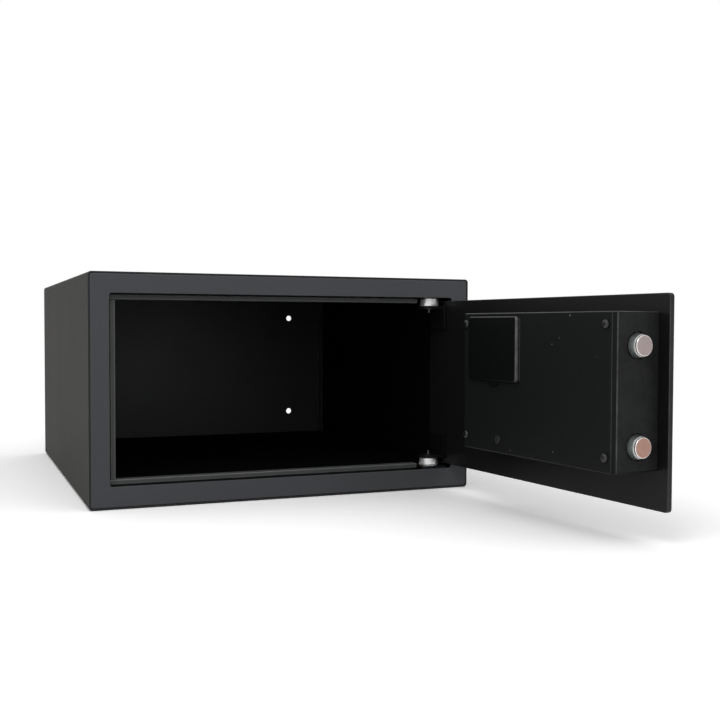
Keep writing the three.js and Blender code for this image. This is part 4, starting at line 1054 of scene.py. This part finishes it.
# Printed boards: solder mask over copper tracks, which show as slightly raised paler lines.
board_green, tree = new_material("board_green")
where = add_node(tree, "TexCoord").outputs["Object"]
lands = add_node(tree, "TexBrick", {
    "Vector": where, "Scale": 260.0, "Mortar Size": 0.025, "Color1": grey(0), "Color2": grey(0.4),
    "Mortar": grey(1),
}).outputs["Color"]
breaks = noise(tree, where, 90.0, 2.0)
track = calculate(tree, "MULTIPLY", lands, spread(tree, breaks, 0.48, 0.52, 0.0, 1.0))
set_inputs(tree, tree.nodes["Principled BSDF"], {
    "Base Color": blend(tree, track, (0.008, 0.045, 0.018, 1), (0.03, 0.12, 0.05, 1)),
    "Roughness": spread(tree, breaks, 0.3, 0.7, 0.24, 0.36),
    "Normal": relief(tree, 0.3, 0.0001, track),
})
softened("main_board", board_green, "door", "board_green", "circuit_board", 0.15)
softened("key_board", board_green, "door", "board_green", "keypad_board", 0.15)

board_face = -173.2
chip_black = moulded_plastic("chip_black", (0.014, 0.014, 0.015), 0.4)
parts = []
for x0, x1, z0, z1, high in (
    (-10, 8, 82, 90, 2.2),
    (12, 20, 70, 76, 1.6),
    (-31, -24, 76, 86, 5.5),
    (14, 24, 84, 91, 3.5),
    (-16, -8, 59, 67, 1.6),
):
    chip = box(x0, x1, board_face - 0.1, board_face + high, z0, z1)
    break_edges(chip, 0.3)
    parts.append(chip)
for x, z, radius, high in ((2, 97, 3.2, 7), (-10, 97, 2.5, 6), (22, 79, 2.5, 6), (2, 62, 2, 4)):
    profile = [(0, -0.1), (radius, -0.1), (radius, 0.8), (radius - 0.25, 1.1), (radius, 1.4),
               (radius, high - 0.3), (radius - 0.3, high), (0, high)]
    parts.append(turned(profile, (x, board_face, z), (0, 1, 0), steps=24, ease=0))
bm = together(*parts)
place_on_door("board_components", bm, chip_black, "board_green")


# Keypad housing
# A hollow moulding with well-rounded corners is held on the outside of the door. It has openings
# for twelve keys, the display and the key lock.
bezel_left, bezel_right = -69.8, 58.2
bezel_bottom, bezel_top = 59.2, 143.2
bezel_back, bezel_face = -205.3, -217.3
bezel_wall, bezel_corner, bezel_rim = 3.0, 12.0, 3.8
lock_opening, display_corner = 9.8, 1.5
bezel_plastic = moulded_plastic("bezel_plastic", (0.013, 0.013, 0.014), 0.33, 1100.0, 0.18,
                                specular=0.5)
key_xs = (-1.8, 20.2, 42.2)
key_rows = ((74.2, ("clear", "0", "enter")), (92.2, "789"), (110.2, "456"), (128.2, "123"))
key_half_width, key_half_height, key_corner = 8.5, 6.5, 2.5
key_gap = 0.3


def rounded_opening(bm, bounds, radius, margin=0.8):
    x0, x1, z0, z1 = bounds
    middle = ((x0 + x1) / 2, bezel_face, (z0 + z1) / 2)
    half_sizes = ((x1 - x0) / 2 + margin, (z1 - z0) / 2 + margin)
    outside = patch_edges(bm, middle, (0, -1, 0), half_sizes)
    inner = rounded_sheet(bm, bounds, radius, 4, bezel_face)
    inside = list(inner.edges)
    cut_out(bm, [inner])
    bmesh.ops.triangle_fill(bm, use_beauty=True, edges=outside + inside, normal=(0, -1, 0))


def key_bounds(x, z):
    return x - key_half_width, x + key_half_width, z - key_half_height, z + key_half_height


bezel = (bezel_left, bezel_right, bezel_bottom, bezel_top)
display = (-60.8, -22.8, 114.2, 134.2)
bm = new_plate(bezel, bezel_corner, 8, bezel_face, bezel_back)
cut_out(bm, faces_towards(bm, (0, 1, 0)))
front_rim = [e for e in sharp_edges(bm) if max(v.co.y for v in e.verts) < bezel_face + hair]
round_off(bm, front_rim, bezel_rim, 6)
rounded_opening(bm, wider(display, key_gap), display_corner)
for z, names in key_rows:
    for x in key_xs:
        rounded_opening(bm, wider(key_bounds(x, z), key_gap), key_corner + key_gap)
round_hole(bm, (lock_x, bezel_face, lock_z), (0, -1, 0), lock_opening, margin=1.3)
turn_to_face(bm, (0, -1, 0))
bmesh.ops.solidify(bm, geom=bm.faces[:], thickness=bezel_wall)
break_edges(bm, 0.25)
place_on_door("keypad_housing", bm, bezel_plastic, "bezel_plastic", "keypad_bezel")


# Keys
# Each key is a separate dark grey moulding with a skirt behind the housing, a slightly dished face
# and a figure printed white. The two keys beside the zero carry a star and a hash.
key_plastic = moulded_plastic("key_plastic", (0.050, 0.052, 0.056), 0.5, 1400.0, 0.15)
figure_white = moulded_plastic("figure_white", (0.62, 0.62, 0.60), 0.5, 1400.0, 0.1)
key_face, key_rim, key_dish, key_ease = -218.9, 1.3, 0.35, 0.5
skirt_reach, skirt_face, skirt_back = 1, -214.0, -212.5
figure_size, star_size, figure_height = 9.0, 13.0, 0.24


def figure(text, x, z, size):
    curve = bpy.data.curves.new("figure", "FONT")
    curve.body = text
    curve.size = size
    curve.align_x = "CENTER"
    curve.align_y = "CENTER"
    curve.extrude = figure_height / 2
    curve.resolution_u = 4
    drawn = bpy.data.objects.new("figure", curve)
    mesh = bpy.data.meshes.new_from_object(drawn)
    bpy.data.objects.remove(drawn)
    bm = bmesh.new()
    bm.from_mesh(mesh)
    bpy.data.meshes.remove(mesh)
    bmesh.ops.remove_doubles(bm, verts=bm.verts, dist=0.001)
    bmesh.ops.dissolve_degenerate(bm, dist=hair, edges=bm.edges)
    bmesh.ops.dissolve_limit(bm, angle_limit=math.radians(1), verts=bm.verts, edges=bm.edges)
    middle_x = (min(v.co.x for v in bm.verts) + max(v.co.x for v in bm.verts)) / 2
    middle_y = (min(v.co.y for v in bm.verts) + max(v.co.y for v in bm.verts)) / 2
    bmesh.ops.translate(bm, vec=(-middle_x, -middle_y, 0), verts=bm.verts)
    stand_up(bm, bm.verts)
    bmesh.ops.translate(bm, vec=(x, key_face + key_dish, z), verts=bm.verts)
    for face in bm.faces:
        face.material_index = 1
    return bm


signs = {"clear": "*", "enter": "#"}
for z, names in key_rows:
    for x, name in zip(key_xs, names):
        bounds = key_bounds(x, z)
        stem = new_plate(bounds, key_corner, 4, key_face, skirt_back)
        top = faces_towards(stem, (0, -1, 0))
        bmesh.ops.inset_region(stem, faces=top, thickness=key_rim, depth=0)
        bmesh.ops.translate(stem, vec=(0, key_dish, 0), verts=top[0].verts)
        rim = [e for e in sharp_edges(stem, 60) if max(v.co.y for v in e.verts) < key_face + hair]
        round_off(stem, rim, key_ease, 3)
        skirt = new_plate(wider(bounds, skirt_reach), key_corner, 4, skirt_face, skirt_back)
        break_edges(skirt, 0.2)
        mark = figure(signs.get(name, name), x, z, star_size if name == "clear" else figure_size)
        key = place_on_door("key_top_" + name, together(stem, skirt, mark), key_plastic,
                            "key_plastic", "key_" + name, body="key_" + name)
        key.data.materials.append(figure_white)


# Display window
# A smoked acrylic window, polished and eased along its edges, sits in its opening.
display_glass = moulded_plastic("display_glass", (0.002, 0.002, 0.003), 0.07, 40.0, 0.02,
                                specular=0.2)
pane_corner, pane_face, pane_back = 1.2, -216.9, -215.4
bm = new_plate(display, pane_corner, 4, pane_face, pane_back)
break_edges(bm, 0.35, 3)
place_on_door("display_pane", bm, display_glass, "display_glass", "display_window")


# Emergency key lock
# A turned lock barrel goes through the door, with its slotted plug, behind a cap that swings aside
# on a rivet.
lock_metal = turned_metal("lock_metal", (0.60, 0.60, 0.58), (0.44, 0.43, 0.41), 0.26, rings=3.0)
profile = [(5.3, -216.6), (5.6, -216.9), (9.0, -216.9), (9.5, -216.5), (9.5, -214.9), (8.0, -214.9),
           (8.0, -180.8), (5.3, -180.8), (5.3, -216.6)]
bm = turned(profile, (lock_x, 0, lock_z), (0, 1, 0), steps=56)
place_on_door("lock_barrel", bm, lock_metal, "lock_metal", "key_lock_body")
softened("lock_plug", lock_metal, "key_rotor", "lock_metal", "key_rotor", 0.2)

cap_plastic = moulded_plastic("cap_plastic", (0.016, 0.016, 0.017), 0.24, 1100.0, 0.1,
                              specular=0.5)
cap_z, rivet_z = 81.2, 91.6
profile = [(0, -217.6), (13.6, -217.6), (14.0, -218.0), (14.0, -218.9), (13.5, -219.4),
           (12.6, -219.6), (11.4, -219.6), (11.0, -219.3), (0, -219.3)]
disc = turned(profile, (lock_x, 0, cap_z), (0, 1, 0), steps=72, ease=0)
profile = [(0, -214.9), (1.6, -214.9), (1.6, -219.4), (2.3, -219.4), (2.2, -219.8),
           (1.4, -220.1), (0, -220.2)]
rivet = turned(profile, (lock_x, 0, rivet_z), (0, 1, 0), steps=28, ease=0)
for face in rivet.faces:
    face.material_index = 1
cap = place_on_door("lock_cap", together(disc, rivet), cap_plastic, "bezel_plastic", "key_cap",
                    body="key_cap")
cap.data.materials.append(lock_metal)


# Size
# The box round the pieces that are shown, the table left out.
low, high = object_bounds()
